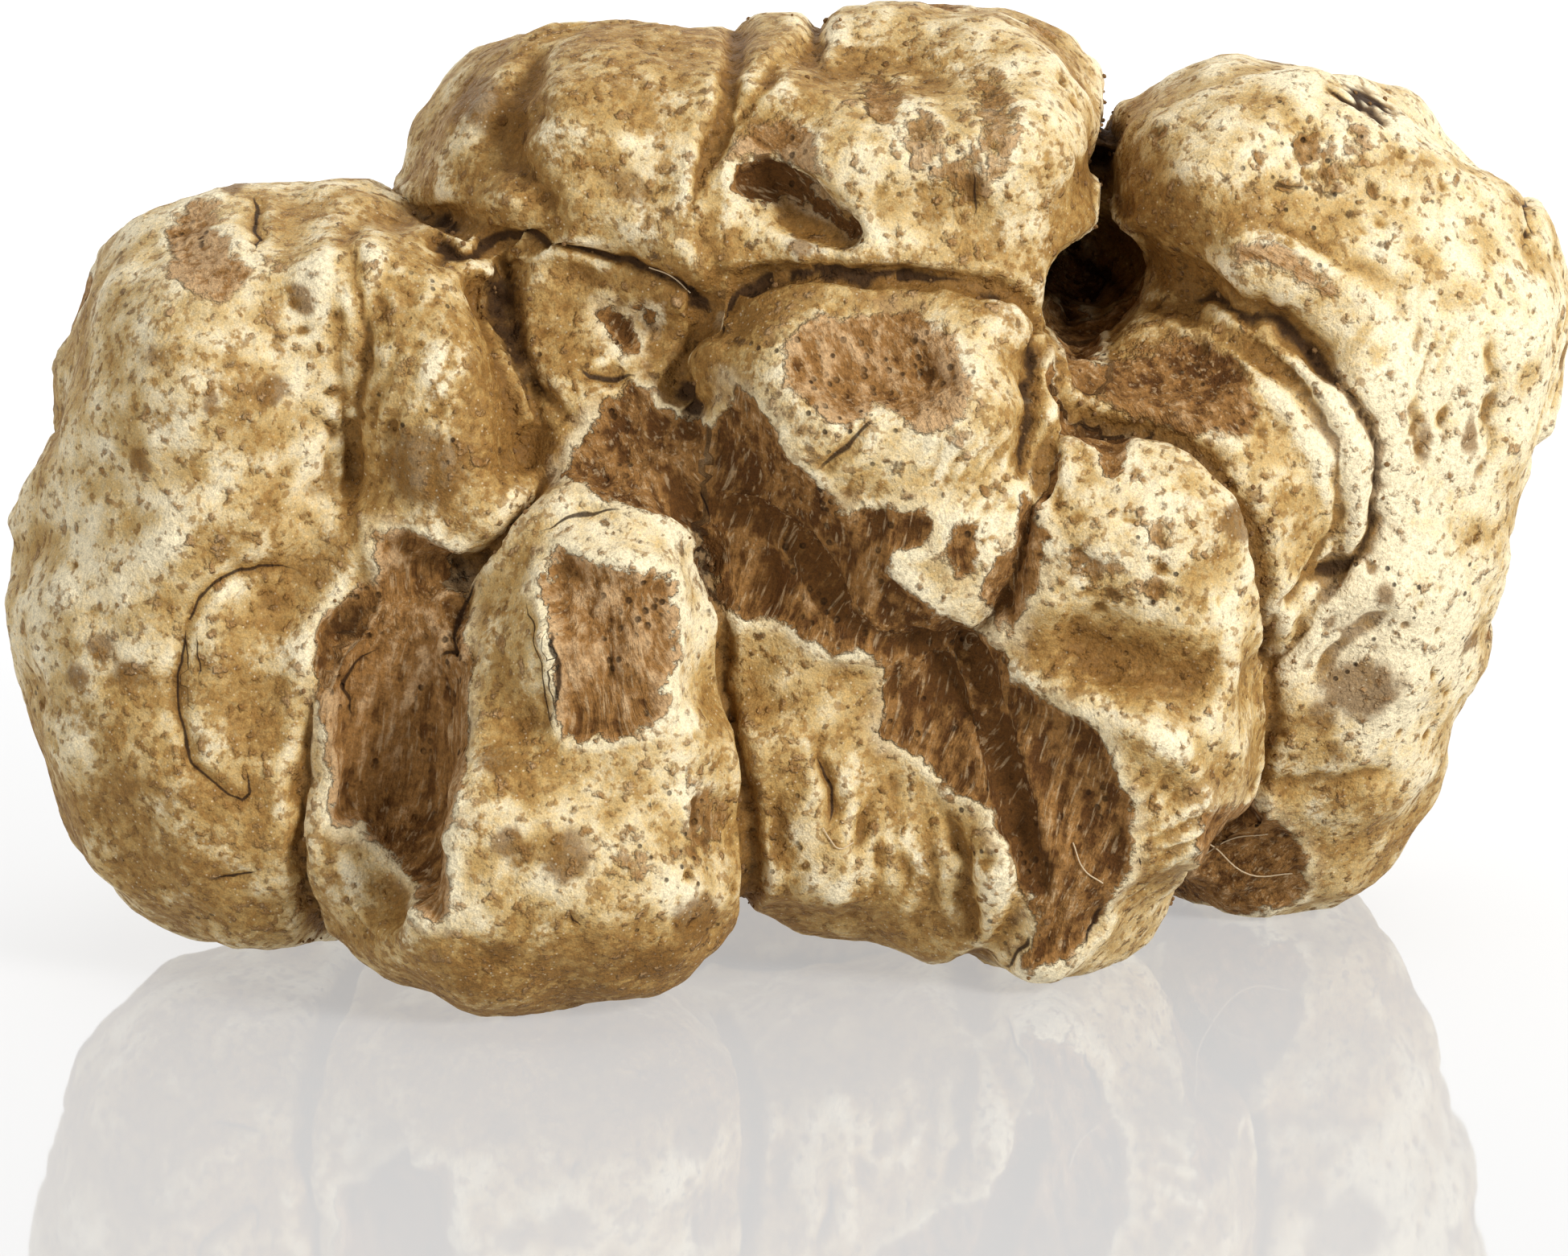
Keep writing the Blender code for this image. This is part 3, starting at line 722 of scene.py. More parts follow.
def drawLines(skin):
    count = len(skin.points)
    skin.crack = np.full(count, 3.0)
    skin.crackNear = np.zeros(count)
    skin.furrow = np.zeros(count)
    for side, width, deep, line in cracks["lines"]:
        line = np.array(line, float)
        at = closeTo(skin.flat[side], line, 2)
        at = at[skin.facing[side][at] > 0.3]
        distance, along, length = lineDistance(skin.flat[side][at], line)
        ends = smoothStep(0, min(2.5, 0.4 * length), np.minimum(along, length - along))
        groove = deep * ends * np.exp(-((distance / max(width, 0.4)) ** 2))
        skin.height[at] -= groove
        # one lip of a crack stands up a little
        skin.height[at] += 0.35 * deep * ends * np.exp(-(((distance - 0.9) / 0.6) ** 2))
        own = np.abs(distance) < np.abs(skin.crack[at])
        # the drawn width is folded into the distance, so that one threshold suits every crack
        drawn = distance * 0.3 / (width * (0.35 + 0.65 * ends))
        skin.crack[at] = np.where(own, np.clip(drawn, -3, 3), skin.crack[at])
        near = smoothStep(0, 0.4, ends) * smoothStep(1.2, 0.7, np.abs(distance))
        skin.crackNear[at] = np.where(own, near, skin.crackNear[at])
    skin.soil = np.zeros(count)
    for side, width, deep, soil, line in creases["lines"]:
        line = np.array(line, float)
        at = closeTo(skin.flat[side], line, 4 * width)
        at = at[skin.facing[side][at] > 0]
        distance, along, length = lineDistance(skin.flat[side][at], line)
        ends = smoothStep(-0.5, min(1.5, 0.3 * length), np.minimum(along, length - along))
        away = np.abs(distance) / width
        skin.height[at] -= deep * ends * (0.7 * np.exp(-(away**1.5)) + 0.3 * np.exp(-((away / 3) ** 2)))
        # the soil laid along a crease is partly painted shade
        soiledAndShaded = soil * ends * np.exp(-((distance / (1.6 * width)) ** 2))
        skin.soil[at] = np.maximum(skin.soil[at], soiledAndShaded)
    for side, width, deep, line in furrows["lines"]:
        line = np.array(line, float)
        at = closeTo(skin.flat[side], line, 3 * width)
        at = at[skin.facing[side][at] > 0]
        distance, along, length = lineDistance(skin.flat[side][at], line)
        ends = smoothStep(-0.3, min(2.5, 0.4 * length), np.minimum(along, length - along))
        dip = ends * skin.facing[side][at] * np.exp(-((distance / width) ** 2))
        skin.height[at] -= deep * dip
        skin.furrow[at] = np.maximum(skin.furrow[at], dip * min(1, max(0, deep) / 0.8))
    unevenness = cloud(skin.points, 5, 6, 2)
    strength = 0.6 + 0.8 * cloud(skin.points, 3, 7, 2)
    for side, angle, spacing, high, outline in wrinkles["patches"]:
        outline = np.array(outline, float)
        at = closeTo(skin.flat[side], outline, 1)
        at = at[skin.facing[side][at] > 0]
        flat = skin.flat[side][at]
        share = smoothStep(-0.5, 1.8, depthInside(flat, outline)) * skin.facing[side][at]
        across = np.array((math.sin(math.radians(angle)), -math.cos(math.radians(angle))))
        phase = (flat @ across + 1.1 * unevenness[at]) * math.tau / spacing
        skin.height[at] += high * share * strength[at] * np.sin(phase)


# Soft spots: side, middle across and up, half width and half height, strength
spots = {
    "stains": [
        ("front", -34.3, 42, 1.1, 1.1, 0.9), ("front", -38, 41.6, 0.9, 0.9, 0.9),
        ("front", -43, 37, 0.9, 0.9, 0.8), ("front", -41.8, 44.2, 1.1, 1.1, 0.6),
        ("front", -32.3, 48.2, 1.1, 0.9, 0.9), ("front", -46.3, 24.4, 1.1, 0.9, 0.9),
        ("front", -48, 22.4, 1, 0.9, 0.8), ("front", -44.2, 23, 1.4, 1.2, 0.7),
        ("front", -37.8, 53.3, 0.9, 0.7, 1), ("front", -34.5, 53.5, 0.7, 0.5, 1),
        ("front", -24, 37, 3.2, 3, 0.9), ("front", -20.4, 59.3, 2.6, 2, 0.7),
        ("front", -10.5, 55, 1.5, 1.5, 0.6), ("front", -17.9, 13.6, 1.3, 1.3, 0.9),
        ("front", -14.2, 13, 2, 2, 0.7), ("front", -19.1, 18.5, 1.3, 1.3, 0.6),
        ("front", -19, 5.8, 1.3, 1.3, 0.7), ("front", -6, 7.5, 1.6, 2, 0.9),
        ("front", -9, 4.5, 2.2, 1.6, 0.7), ("front", 30.5, 33.6, 1.4, 1.2, 1),
        ("front", 39.8, 19.5, 3, 2.6, 0.8), ("front", 37.2, 17.3, 1.3, 1.8, 0.6),
        ("front", 38.4, 14.7, 1.2, 1.2, 0.6), ("front", -16.3, 37.6, 1.3, 1.3, 0.9),
        ("front", -2.5, 15, 0.9, 0.9, 1), ("front", 1.2, 51.6, 1.1, 1.1, 0.7),
        ("front", 41, 27, 1, 1, 0.7), ("front", 47.9, 21.7, 0.9, 0.9, 0.7),
        ("front", 46.9, 37.5, 0.8, 1.6, 0.8), ("front", 43.5, 37.5, 0.7, 2.4, 0.6),
        ("front", 14.3, 27.5, 1.5, 2, 0.5), ("front", 20.6, 9.3, 1.2, 1.2, 0.8),
        ("back", -16, 22, 1.6, 1.4, 0.9), ("back", 20, 26, 1.2, 1.2, 0.9),
        ("back", -25, 45, 1.4, 1.2, 0.8), ("back", 5, 42, 2.2, 1.8, 0.7),
        ("back", 36, 40, 1.5, 2, 0.8), ("back", -5, 14, 1.2, 1.2, 0.9),
        ("left", -2, 22, 1.3, 1.2, 0.9), ("left", 12, 44, 1.5, 1.3, 0.8),
        ("left", -6, 8, 1.6, 1.2, 0.8), ("left", 16, 25, 1.1, 1.1, 0.9),
        ("right", 3, 28, 1.3, 1.3, 0.9), ("right", 10, 20, 1.6, 1.4, 0.8),
        ("right", 0, 41, 1.1, 1.1, 0.9), ("right", 14, 48, 1.4, 1.2, 0.8),
        ("top", -10, 8, 1.5, 1.3, 0.8), ("top", 16, 10, 1.4, 1.4, 0.8), ("top", 34, 6, 1.4, 1.2, 0.8),
    ],
    # small scars of bare, pitted flesh
    "scars": [
        ("front", 6.6, 60.5, 1.3, 1.2, 0.9), ("front", 9.3, 58.3, 1.4, 1.8, 0.8),
        ("front", 14.1, 59.4, 1.4, 2.8, 0.8), ("front", 12, 55.8, 2.2, 1.8, 0.7),
        ("front", 20.8, 30.7, 0.8, 1.3, 1), ("front", 22.2, 30.7, 0.6, 1, 1),
        ("front", 19.7, 31.7, 0.8, 0.8, 1), ("front", 25.1, 33, 1, 1.2, 0.9),
        ("front", 25, 29.4, 1.2, 0.7, 0.9), ("front", 22, 28.9, 0.7, 0.5, 0.9),
        ("front", 35.6, 57.2, 1, 1, 0.9), ("front", 32, 56.8, 0.6, 0.6, 0.8),
        ("front", 33.9, 54.9, 1, 0.5, 0.8), ("front", 40, 54.2, 0.7, 0.7, 0.8),
        ("front", 25.8, 57.5, 0.7, 0.7, 0.8), ("front", -5.5, 14, 1.3, 2.8, 0.8),
        ("front", 13.5, 35.7, 0.5, 0.5, 0.8), ("front", -33.8, 49.8, 0.5, 0.5, 1),
        ("front", -20.9, 37.1, 0.9, 0.7, 0.5), ("front", 37, 55.5, 1.2, 2, 0.6),
        ("front", 39, 57, 1, 1.6, 0.6), ("front", -10.2, 12.3, 1.8, 1.8, 0.4),
        ("back", -22, 24, 1.5, 2, 0.8), ("back", 2, 48, 1.6, 1.2, 0.8), ("back", 30, 28, 1.2, 1.8, 0.8),
        ("left", 2, 37, 1.4, 1, 0.8), ("right", 6, 24, 1.2, 1.6, 0.8), ("top", 18, 4, 1.5, 1.5, 0.8),
    ],
    # where small dark pits crowd the skin
    "pitted": [
        ("front", -24, 43, 4, 8, 0.7), ("front", 6.5, 44, 7, 4, 1.1), ("front", 22, 32, 7, 6, 1),
        ("front", 9, 55, 10, 6, 0.6), ("front", 37, 55, 8, 6, 0.7), ("front", 44, 24, 8, 10, 0.8),
        ("front", 28, 34, 8, 8, 0.5), ("front", -6, 10, 5, 10, 0.5), ("front", 2, 13, 5, 6, 0.5),
        ("front", 36, 35, 4, 8, 0.4), ("front", 14, 8, 3, 8, 0.8), ("front", -10, 45, 6, 4, 0.5),
        ("back", 20, 40, 9, 8, 0.8), ("back", -10, 24, 9, 7, 0.6), ("left", 0, 40, 7, 7, 0.6),
        ("right", 4, 26, 8, 9, 0.8), ("top", 10, 4, 9, 8, 0.6),
    ],
    # broad colour, from pale below zero to brown above it; the brown along the bottom, strongest at (-15, 3), is
    # partly painted shade
    "tones": [
        ("front", -40, 11, 12, 8, 0.6), ("front", -36, 20, 8, 8, 0.25),
        ("front", -32, 38, 2.5, 9, -0.9), ("front", -40, 44, 9, 5, 0.3),
        ("front", -46, 30, 8, 9, -0.35), ("front", -38, 33, 6, 3, 0.35),
        ("front", -30, 33, 5, 4, 0.45), ("front", -22.5, 44, 3, 6, -0.1), ("front", -20.5, 38, 3, 4, 0.6),
        ("front", -27, 44, 2.5, 6, 0.3), ("front", -16, 41, 6, 6, 1.1), ("front", -17, 46.5, 6, 3, 0.9), ("front", -7.5, 46.5, 3.5, 3, 0.9),
        ("front", -8, 44, 4, 4, 0.6), ("front", -12.5, 45.7, 5, 2.6, -1.1),
        ("front", -19, 56, 6, 6, 1.0), ("front", -12, 62, 9, 2.5, 0.5),
        ("front", -10, 57, 6, 4, -0.1), ("front", -2, 60, 4, 4, 0.5),
        ("front", 7, 63.5, 9, 2.5, 0.35), ("front", 12, 60, 9, 5, -0.35),
        ("front", 12, 49, 10, 2.6, 0.6), ("front", -4, 49, 8, 3.4, 1.2), ("front", -3, 47.5, 3, 2.5, 1.5),
        ("front", 18.5, 53, 2.5, 6, 0.35), ("front", 4, 52.4, 9, 1.5, -0.5),
        ("front", 8, 38.5, 5, 3, -0.45), ("front", 14.5, 43, 2.5, 4, 0.4),
        ("front", -4.5, 44, 3, 3, 1.2), ("front", 9.5, 31, 3, 3, -0.7),
        ("front", -17, 28, 4, 6, -0.2), ("front", -19, 20, 4, 10, 0.2),
        ("front", -10, 14, 7, 6, -0.45), ("front", -15, 3, 14, 5, 1.9),
        ("front", -6.3, 26, 2, 8, -0.8), ("front", -11, 33.3, 6, 1.6, -0.5),
        ("front", -3.5, 15, 2.5, 9, 0.7), ("front", 1, 23, 4, 3, -0.35),
        ("front", -2.5, 24, 3, 3, 0.45), ("front", 6, 4, 11, 4, 0.9),
        ("front", 22, 31, 6, 6, 0.1), ("front", 11, 37.5, 4, 4, -0.3), ("front", 23, 24, 8, 2.6, 1.3), ("front", 20, 13, 4, 8, 0.35),
        ("front", 24, 18.5, 7, 3, -0.1), ("front", 26, 10, 4, 8, 0.1),
        # the brown at (21, 43) and (23.5, 51.5) is painted shade, on the shell's left and under the arch
        ("front", 30, 38, 8, 4, -0.15), ("front", 21, 43, 5, 4, 1.2), ("front", 23.5, 51.5, 4, 4.5, 1.2), ("front", 37.4, 36, 1.6, 6, -0.8), ("front", 35, 41.3, 2.5, 2, -0.7),
        ("front", 32, 27, 4, 7, -0.2), ("front", 29, 52.6, 6, 2, 0.9),
        ("front", 25, 56, 4, 4, 0.35), ("front", 46, 45, 8, 14, -1.1), ("front", 39, 36, 3, 12, -0.5),
        ("front", 36, 59, 10, 5, -0.6), ("front", 44, 26, 8, 12, -1.1),
        ("front", 38, 30, 4, 6, 0.25), ("front", 41, 22, 7, 8, -0.9),
        ("left", 0, 12, 14, 8, 0.4), ("back", -20, 10, 14, 8, 0.4), ("right", 6, 38, 10, 14, -0.5),
        ("back", 25, 40, 12, 10, -0.4), ("back", -8, 48, 12, 5, 0.3), ("top", 10, 6, 12, 9, -0.2),
    ],
}


def spotField(skin, listed, adding=False):
    field = np.zeros(len(skin.points))
    for side, across, up, halfWidth, halfHeight, strength in listed:
        middle = np.array((across, up))
        half = np.array((halfWidth, halfHeight))
        at = closeTo(skin.flat[side], np.array([middle - half, middle + half]), half.max() * 0.6)
        out = np.sqrt((((skin.flat[side][at] - middle) / half) ** 2).sum(axis=1))
        amount = strength * smoothStep(1.5, 0.35, out) * skin.facing[side][at]
        field[at] = field[at] + amount if adding else np.maximum(field[at], amount)
    return field


relief = {
    "lumps": ((8.0, 0.6), (3.2, 0.2), (1.5, 0.09)),  # size and height of the skin's unevenness, mm
    "pitSpacing": 2.1,
    "pitDepth": 0.45,
}


def mottle(skin):
    points = skin.points
    skin.stain = spotField(skin, spots["stains"])
    skin.scar = spotField(skin, spots["scars"])
    broad = cloud(points, 12, 11, 3)
    skin.pitted = np.clip(spotField(skin, spots["pitted"]) + 0.8 * cloud(points, 9, 12, 2) - 0.1, 0, 1)
    skin.tone = spotField(skin, spots["tones"], adding=True) + 0.6 * broad
    for seed, (size, high) in enumerate(relief["lumps"]):
        skin.height += high * cloud(points, size, 20 + seed, 2)
    ragged = 1 + 0.8 * cloud(points, 0.9, 8, 2)
    skin.height -= 0.3 * smoothStep(0.3, 0.8, skin.scar) * ragged
    spaced = (points / relief["pitSpacing"]).tolist()
    pitAway = np.array([noise.voronoi(Vector(point))[0][0] for point in spaced])
    pits = smoothStep(0.3, 0.08, pitAway) * smoothStep(0.1, 0.6, skin.pitted)
    skin.height -= relief["pitDepth"] * pits
    skin.furrow = np.maximum(skin.furrow, pits)


def hollowness(mesh, normals, times):
    # how far each point lies below the mean of the skin round it, mm
    points = meshPoints(mesh)
    return ((averaged(points, meshEdges(mesh), times) - points) * normals).sum(axis=1)


def addAttribute(mesh, name, values):
    kind = "FLOAT_VECTOR" if values.ndim == 2 else "FLOAT"
    attribute = mesh.attributes.new(name, kind, "POINT")
    attribute.data.foreach_set("vector" if values.ndim == 2 else "value", values.astype(np.float32).ravel())


def finishBody(piece):
    mesh = piece.data
    skin = Skin()
    skin.points = meshPoints(mesh)
    skin.normals = meshNormals(mesh)
    skin.height = np.zeros(len(skin.points))
    seamSoilAndShade = bodyDistance(skin.points, withSeams=True)[1]
    flattened(skin)
    tearSkin(skin)
    drawLines(skin)
    mottle(skin)
    report("marks")
    points = skin.points + skin.normals * skin.height[:, None]
    # teeth left in the narrowest gaps are rubbed down
    edges = meshEdges(mesh)
    for _ in range(4):
        calm = averaged(points, edges, 1)
        sharp = smoothStep(0.09, 0.2, np.sqrt(((calm - points) ** 2).sum(axis=1)))
        points += sharp[:, None] * (calm - points)
    points[:, 2] = np.maximum(points[:, 2], 0)
    setMeshPoints(mesh, points)
    normals = meshNormals(mesh)
    closeHollow = hollowness(mesh, normals, 4)
    broadHollow = hollowness(mesh, normals, 50)
    for name, values in (
        ("flesh", skin.flesh), ("fleshTone", skin.fleshTone), ("edge", skin.edge), ("grain", skin.grain),
        ("crack", skin.crack), ("crackNear", skin.crackNear), ("furrow", skin.furrow),
        ("stain", skin.stain), ("scar", skin.scar), ("pitted", skin.pitted), ("tone", skin.tone),
        ("seam_soil_and_shade", np.maximum(seamSoilAndShade, skin.soil)), ("closeHollow", closeHollow), ("broadHollow", broadHollow),
    ):
        addAttribute(mesh, name, values)
    bm = bmesh.new()
    bm.from_mesh(mesh)
    middle = Vector((layout["middleX"], layout["middleY"], 0))
    bmesh.ops.translate(bm, vec=-middle, verts=bm.verts)
    bmesh.ops.scale(bm, vec=(layout["mm"],) * 3, verts=bm.verts)
    bmesh.ops.triangulate(bm, faces=bm.faces)
    count = len(bm.faces)
    bm.to_mesh(mesh)
    bm.free()
    thin = piece.modifiers.new("thin", "DECIMATE")
    thin.ratio = body["triangles"] / count
    bakeModifiers(piece)
    piece.data.shade_smooth()
    report(f"finished skin of {len(piece.data.polygons)} triangles")


finishBody(truffle)


def makeNode(tree, kind, inputs=(), **settings):
    node = tree.nodes.new(kind)
    for name, value in settings.items():
        setattr(node, name, value)
    for name, value in dict(inputs).items():
        if isinstance(value, bpy.types.NodeSocket):
            tree.links.new(value, node.inputs[name])
        else:
            node.inputs[name].default_value = value
    return node


def attribute(tree, name):
    return makeNode(tree, "ShaderNodeAttribute", attribute_name=name).outputs["Fac"]


def noiseAt(tree, where, size, detail=3, roughness=0.55):
    inputs = {"Vector": where, "Scale": 1 / size, "Detail": detail, "Roughness": roughness}
    return makeNode(tree, "ShaderNodeTexNoise", inputs).outputs[0]


def cellsAt(tree, where, size, randomness=1.0):
    inputs = {"Vector": where, "Scale": 1 / size, "Randomness": randomness}
    return makeNode(tree, "ShaderNodeTexVoronoi", inputs).outputs["Distance"]


def math2(tree, operation, a, b=0.0, clamp=False):
    return makeNode(tree, "ShaderNodeMath", {0: a, 1: b}, operation=operation, use_clamp=clamp).outputs[0]


def fade(tree, value, low, high):
    inputs = {"Value": value, "From Min": low, "From Max": high}
    return makeNode(
        tree, "ShaderNodeMapRange", inputs, interpolation_type="SMOOTHSTEP"
    ).outputs["Result"]


def blendColour(tree, share, a, b, mode="MIX"):
    a, b = [(*c, 1) if isinstance(c, tuple) and len(c) == 3 else c for c in (a, b)]
    return makeNode(
        tree, "ShaderNodeMix", {0: share, 6: a, 7: b}, data_type="RGBA", blend_type=mode
    ).outputs[2]


def times(tree, a, b):
    return math2(tree, "MULTIPLY", a, b)


def sumOf(tree, *terms):
    # weighted sum of (value, weight) pairs
    total = None
    for value, weight in terms:
        part = times(tree, value, weight)
        total = part if total is None else math2(tree, "ADD", total, part)
    return total


skinLook = {
    "cream": (0.65, 0.48, 0.225),
    "pale": (0.92, 0.82, 0.585),
    "tan": (0.45, 0.28, 0.092),
    "ochre": (0.335, 0.185, 0.050),
    "freckle": (0.29, 0.150, 0.038),
    "brown": (0.19, 0.088, 0.017),
    "rim": (0.85, 0.74, 0.49),
    # near-black for soil and painted shade in seams, creases and cracks, also used in pits and holes
    "soil": (0.030, 0.012, 0.003),
    "fleshDark": (0.095, 0.037, 0.008),
    "fleshMid": (0.28, 0.138, 0.040),
    "fleshPale": (0.53, 0.34, 0.17),
    "veins": (0.60, 0.44, 0.25),
    "roughness": 0.64,
}


def truffleSkin():
    material = bpy.data.materials.new("truffle_skin")
    material.use_nodes = True
    tree = material.node_tree
    shader = tree.nodes["Principled BSDF"]
    look = skinLook
    coords = makeNode(tree, "ShaderNodeTexCoord").outputs["Object"]
    where = makeNode(tree, "ShaderNodeMapping", {"Vector": coords, "Scale": (1000, 1000, 1000)}).outputs[0]

    # cream skin clouded with tan and freckled, browner by zone; paler on ridges, partly worn skin and partly painted
    # highlight, and browner in hollows, partly soil and partly painted shade
    clouds = noiseAt(tree, where, 3.6, 3, 0.5)
    blotches = noiseAt(tree, where, 2.7, 5, 0.64)
    freckles = noiseAt(tree, where, 1.0, 3, 0.55)
    specks = noiseAt(tree, where, 0.7, 2, 0.5)
    fine = noiseAt(tree, where, 0.34, 2, 0.6)
    uneven = sumOf(tree, (specks, 1.1), (blotches, 0.9))
    tone = times(tree, attribute(tree, "tone"), uneven)
    # hollow darkens the colour in hollows and furrows as painted shade, and where it is low the ridges turn pale as
    # painted highlight
    hollow = sumOf(
        tree, (attribute(tree, "closeHollow"), 3.5), (attribute(tree, "broadHollow"), 0.75),
        (attribute(tree, "furrow"), 0.4),
    )
    soft = sumOf(tree, (clouds, 1.0), (fine, 0.25), (tone, 0.16), (hollow, 0.22))
    colour = blendColour(tree, fade(tree, soft, 0.46, 0.80), look["cream"], look["tan"])
    paleAndRidgeHighlightShare = times(tree, fade(tree, sumOf(tree, (soft, 1.0), (freckles, 0.15)), 0.70, 0.38), 0.8)
    colour = blendColour(tree, paleAndRidgeHighlightShare, colour, look["pale"])
    mixed = sumOf(tree, (blotches, 1.0), (freckles, 0.45), (fine, 0.3), (tone, 0.17), (hollow, 0.15))
    colour = blendColour(tree, times(tree, fade(tree, mixed, 0.84, 1.02), 0.85), colour, look["ochre"])
    colour = blendColour(tree, times(tree, fade(tree, mixed, 1.04, 1.28), 0.8), colour, look["brown"])
    # ochre areas are peppered both ways
    ochreArea = fade(tree, mixed, 0.9, 1.1)
    dark = times(tree, times(tree, fade(tree, specks, 0.5, 0.6), ochreArea), 0.55)
    colour = blendColour(tree, dark, colour, look["brown"])
    light = times(tree, times(tree, fade(tree, specks, 0.46, 0.36), ochreArea), 0.6)
    colour = blendColour(tree, light, colour, look["tan"])
    spotty = sumOf(tree, (specks, 1.0), (fine, 0.2), (tone, 0.05), (clouds, 0.35))
    dots = fade(tree, spotty, 0.81, 0.90)
    colour = blendColour(tree, times(tree, dots, 0.68), colour, look["freckle"])
    stain = fade(tree, sumOf(tree, (attribute(tree, "stain"), 1.0), (blotches, 0.5), (freckles, 0.6)), 0.72, 1.2)
    colour = blendColour(tree, times(tree, stain, 0.8), colour, look["brown"])

    # bright sand grains and tiny dark pits
    grains = fade(tree, cellsAt(tree, where, 0.55), 0.2, 0.06)
    colour = blendColour(tree, times(tree, grains, 0.4), colour, look["pale"])
    pits = times(tree, fade(tree, cellsAt(tree, where, 1.4), 0.16, 0.07), fade(tree, attribute(tree, "pitted"), 0.15, 0.7))

    # torn flesh: fibres, whitish veins and holes, and a broken cream rim round it
    grain = makeNode(tree, "ShaderNodeAttribute", attribute_name="grain").outputs["Vector"]
    fibres = makeNode(tree, "ShaderNodeMapping", {"Vector": grain, "Scale": (1, 1, 0.22)}).outputs[0]
    fibre = noiseAt(tree, fibres, 0.9, 4, 0.65)
    fleshTone = attribute(tree, "fleshTone")
    # the flesh is darker in hollows and furrows: painted shade
    fleshValue = sumOf(
        tree, (fibre, 1.6), (blotches, 0.8), (specks, 0.7), (fleshTone, 0.3), (hollow, -0.25), (attribute(tree, "furrow"), -0.3)
    )
    flesh = blendColour(tree, fade(tree, fleshValue, 1.16, 1.58), look["fleshDark"], look["fleshMid"])
    flesh = blendColour(tree, fade(tree, fleshValue, 1.56, 2.0), flesh, look["fleshPale"])
    strands = makeNode(tree, "ShaderNodeMapping", {"Vector": grain, "Scale": (1, 1, 0.12)}).outputs[0]
    strand = fade(tree, noiseAt(tree, strands, 0.3, 2, 0.6), 0.56, 0.7)
    flesh = blendColour(tree, times(tree, strand, 0.45), flesh, look["veins"])
    crowded = math2(tree, "MAXIMUM", fade(tree, clouds, 0.5, 0.36), times(tree, attribute(tree, "pitted"), 0.7))
    holes = times(tree, fade(tree, cellsAt(tree, where, 0.85), 0.34, 0.12), crowded)
    flesh = blendColour(tree, times(tree, holes, 0.7), flesh, look["soil"])
    ragged = sumOf(tree, (attribute(tree, "flesh"), 1.0), (freckles, 1.6), (fine, 0.5))
    inward = math2(tree, "DIVIDE", math2(tree, "SUBTRACT", ragged, 0.95), attribute(tree, "edge"))
    fleshShare = fade(tree, inward, -0.12, 0.22)
    rimShare = times(tree, fade(tree, inward, -1.5, -0.1), fade(tree, sumOf(tree, (clouds, 0.6), (blotches, 0.4)), 0.4, 0.58))
    rimShare = times(tree, rimShare, fade(tree, attribute(tree, "edge"), 1.5, 0.6))
    colour = blendColour(tree, times(tree, rimShare, 0.85), colour, look["rim"])
    scarShare = fade(tree, sumOf(tree, (attribute(tree, "scar"), 1.0), (freckles, 2.2), (specks, 1.4)), 1.95, 2.45)
    fleshShare = math2(tree, "MAXIMUM", fleshShare, times(tree, scarShare, 0.8))
    colour = blendColour(tree, fleshShare, colour, flesh)
    colour = blendColour(tree, times(tree, pits, 0.85), colour, look["soil"])

    # brown skin and soil in seams and furrows, partly painted shade, and painted shade in cracks
    seamTight = math2(tree, "POWER", attribute(tree, "seam_soil_and_shade"), 1.6)
    # browner in hollows and seams: partly soil, partly painted shade
    hollowBrownAndShade = fade(tree, sumOf(tree, (hollow, 1.0), (blotches, 0.8), (seamTight, 1.2)), 0.7, 1.4)
    skinOnly = math2(tree, "SUBTRACT", 1.0, times(tree, fleshShare, 0.8))
    colour = blendColour(tree, times(tree, times(tree, hollowBrownAndShade, skinOnly), 0.75), colour, look["brown"])
    # near-black in the seams: soil and painted shade
    seamSoilAndShadeShare = fade(tree, sumOf(tree, (seamTight, 1.0), (hollow, 0.12), (freckles, 0.4)), 0.82, 1.2)
    colour = blendColour(tree, times(tree, seamSoilAndShadeShare, 0.9), colour, look["soil"])
    # the cracks are painted near-black: painted shade in gaps too narrow for the mesh
    crackSide = math2(tree, "ABSOLUTE", attribute(tree, "crack"))
    crackEdge = math2(tree, "ADD", crackSide, times(tree, freckles, 0.15))
    crackShadeShare = times(tree, fade(tree, crackEdge, 0.33, 0.16), attribute(tree, "crackNear"))
    colour = blendColour(tree, times(tree, crackShadeShare, 0.9), colour, look["soil"])
    dust = noiseAt(tree, where, 0.12, 1, 0.5)
    grit = math2(tree, "ADD", sumOf(tree, (fine, 1.0), (dust, 0.8)), 0.1)
    colour = blendColour(tree, 1.0, colour, grit, "MULTIPLY")
    tree.links.new(colour, shader.inputs["Base Color"])

    # fine relief
    relief = sumOf(
        tree, (fine, 0.17), (freckles, 0.15), (pits, -0.2),
        (times(tree, fleshShare, fibre), 0.6),
        (times(tree, fleshShare, holes), -0.35),
    )
    bump = makeNode(tree, "ShaderNodeBump", {"Height": relief, "Distance": 0.001, "Strength": 0.95})
    tree.links.new(bump.outputs[0], shader.inputs["Normal"])
    rough = sumOf(tree, (fleshShare, 0.25), (fine, 0.12), (seamSoilAndShadeShare, 0.15))
    tree.links.new(math2(tree, "ADD", rough, look["roughness"] - 0.06, clamp=True), shader.inputs["Roughness"])
    shader.inputs["Specular IOR Level"].default_value = 0.2
    return material


truffle.data.materials.clear()
truffle.data.materials.append(truffleSkin())
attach(truffle, "root")
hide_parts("truffle")
report("material")

crumbs = {
    "count": 900,
    "seed": 8,
    "radius": (0.09, 0.26),  # mm
    "leastSoilAndShade": 0.55,
    "colour": (0.20, 0.105, 0.035),
}

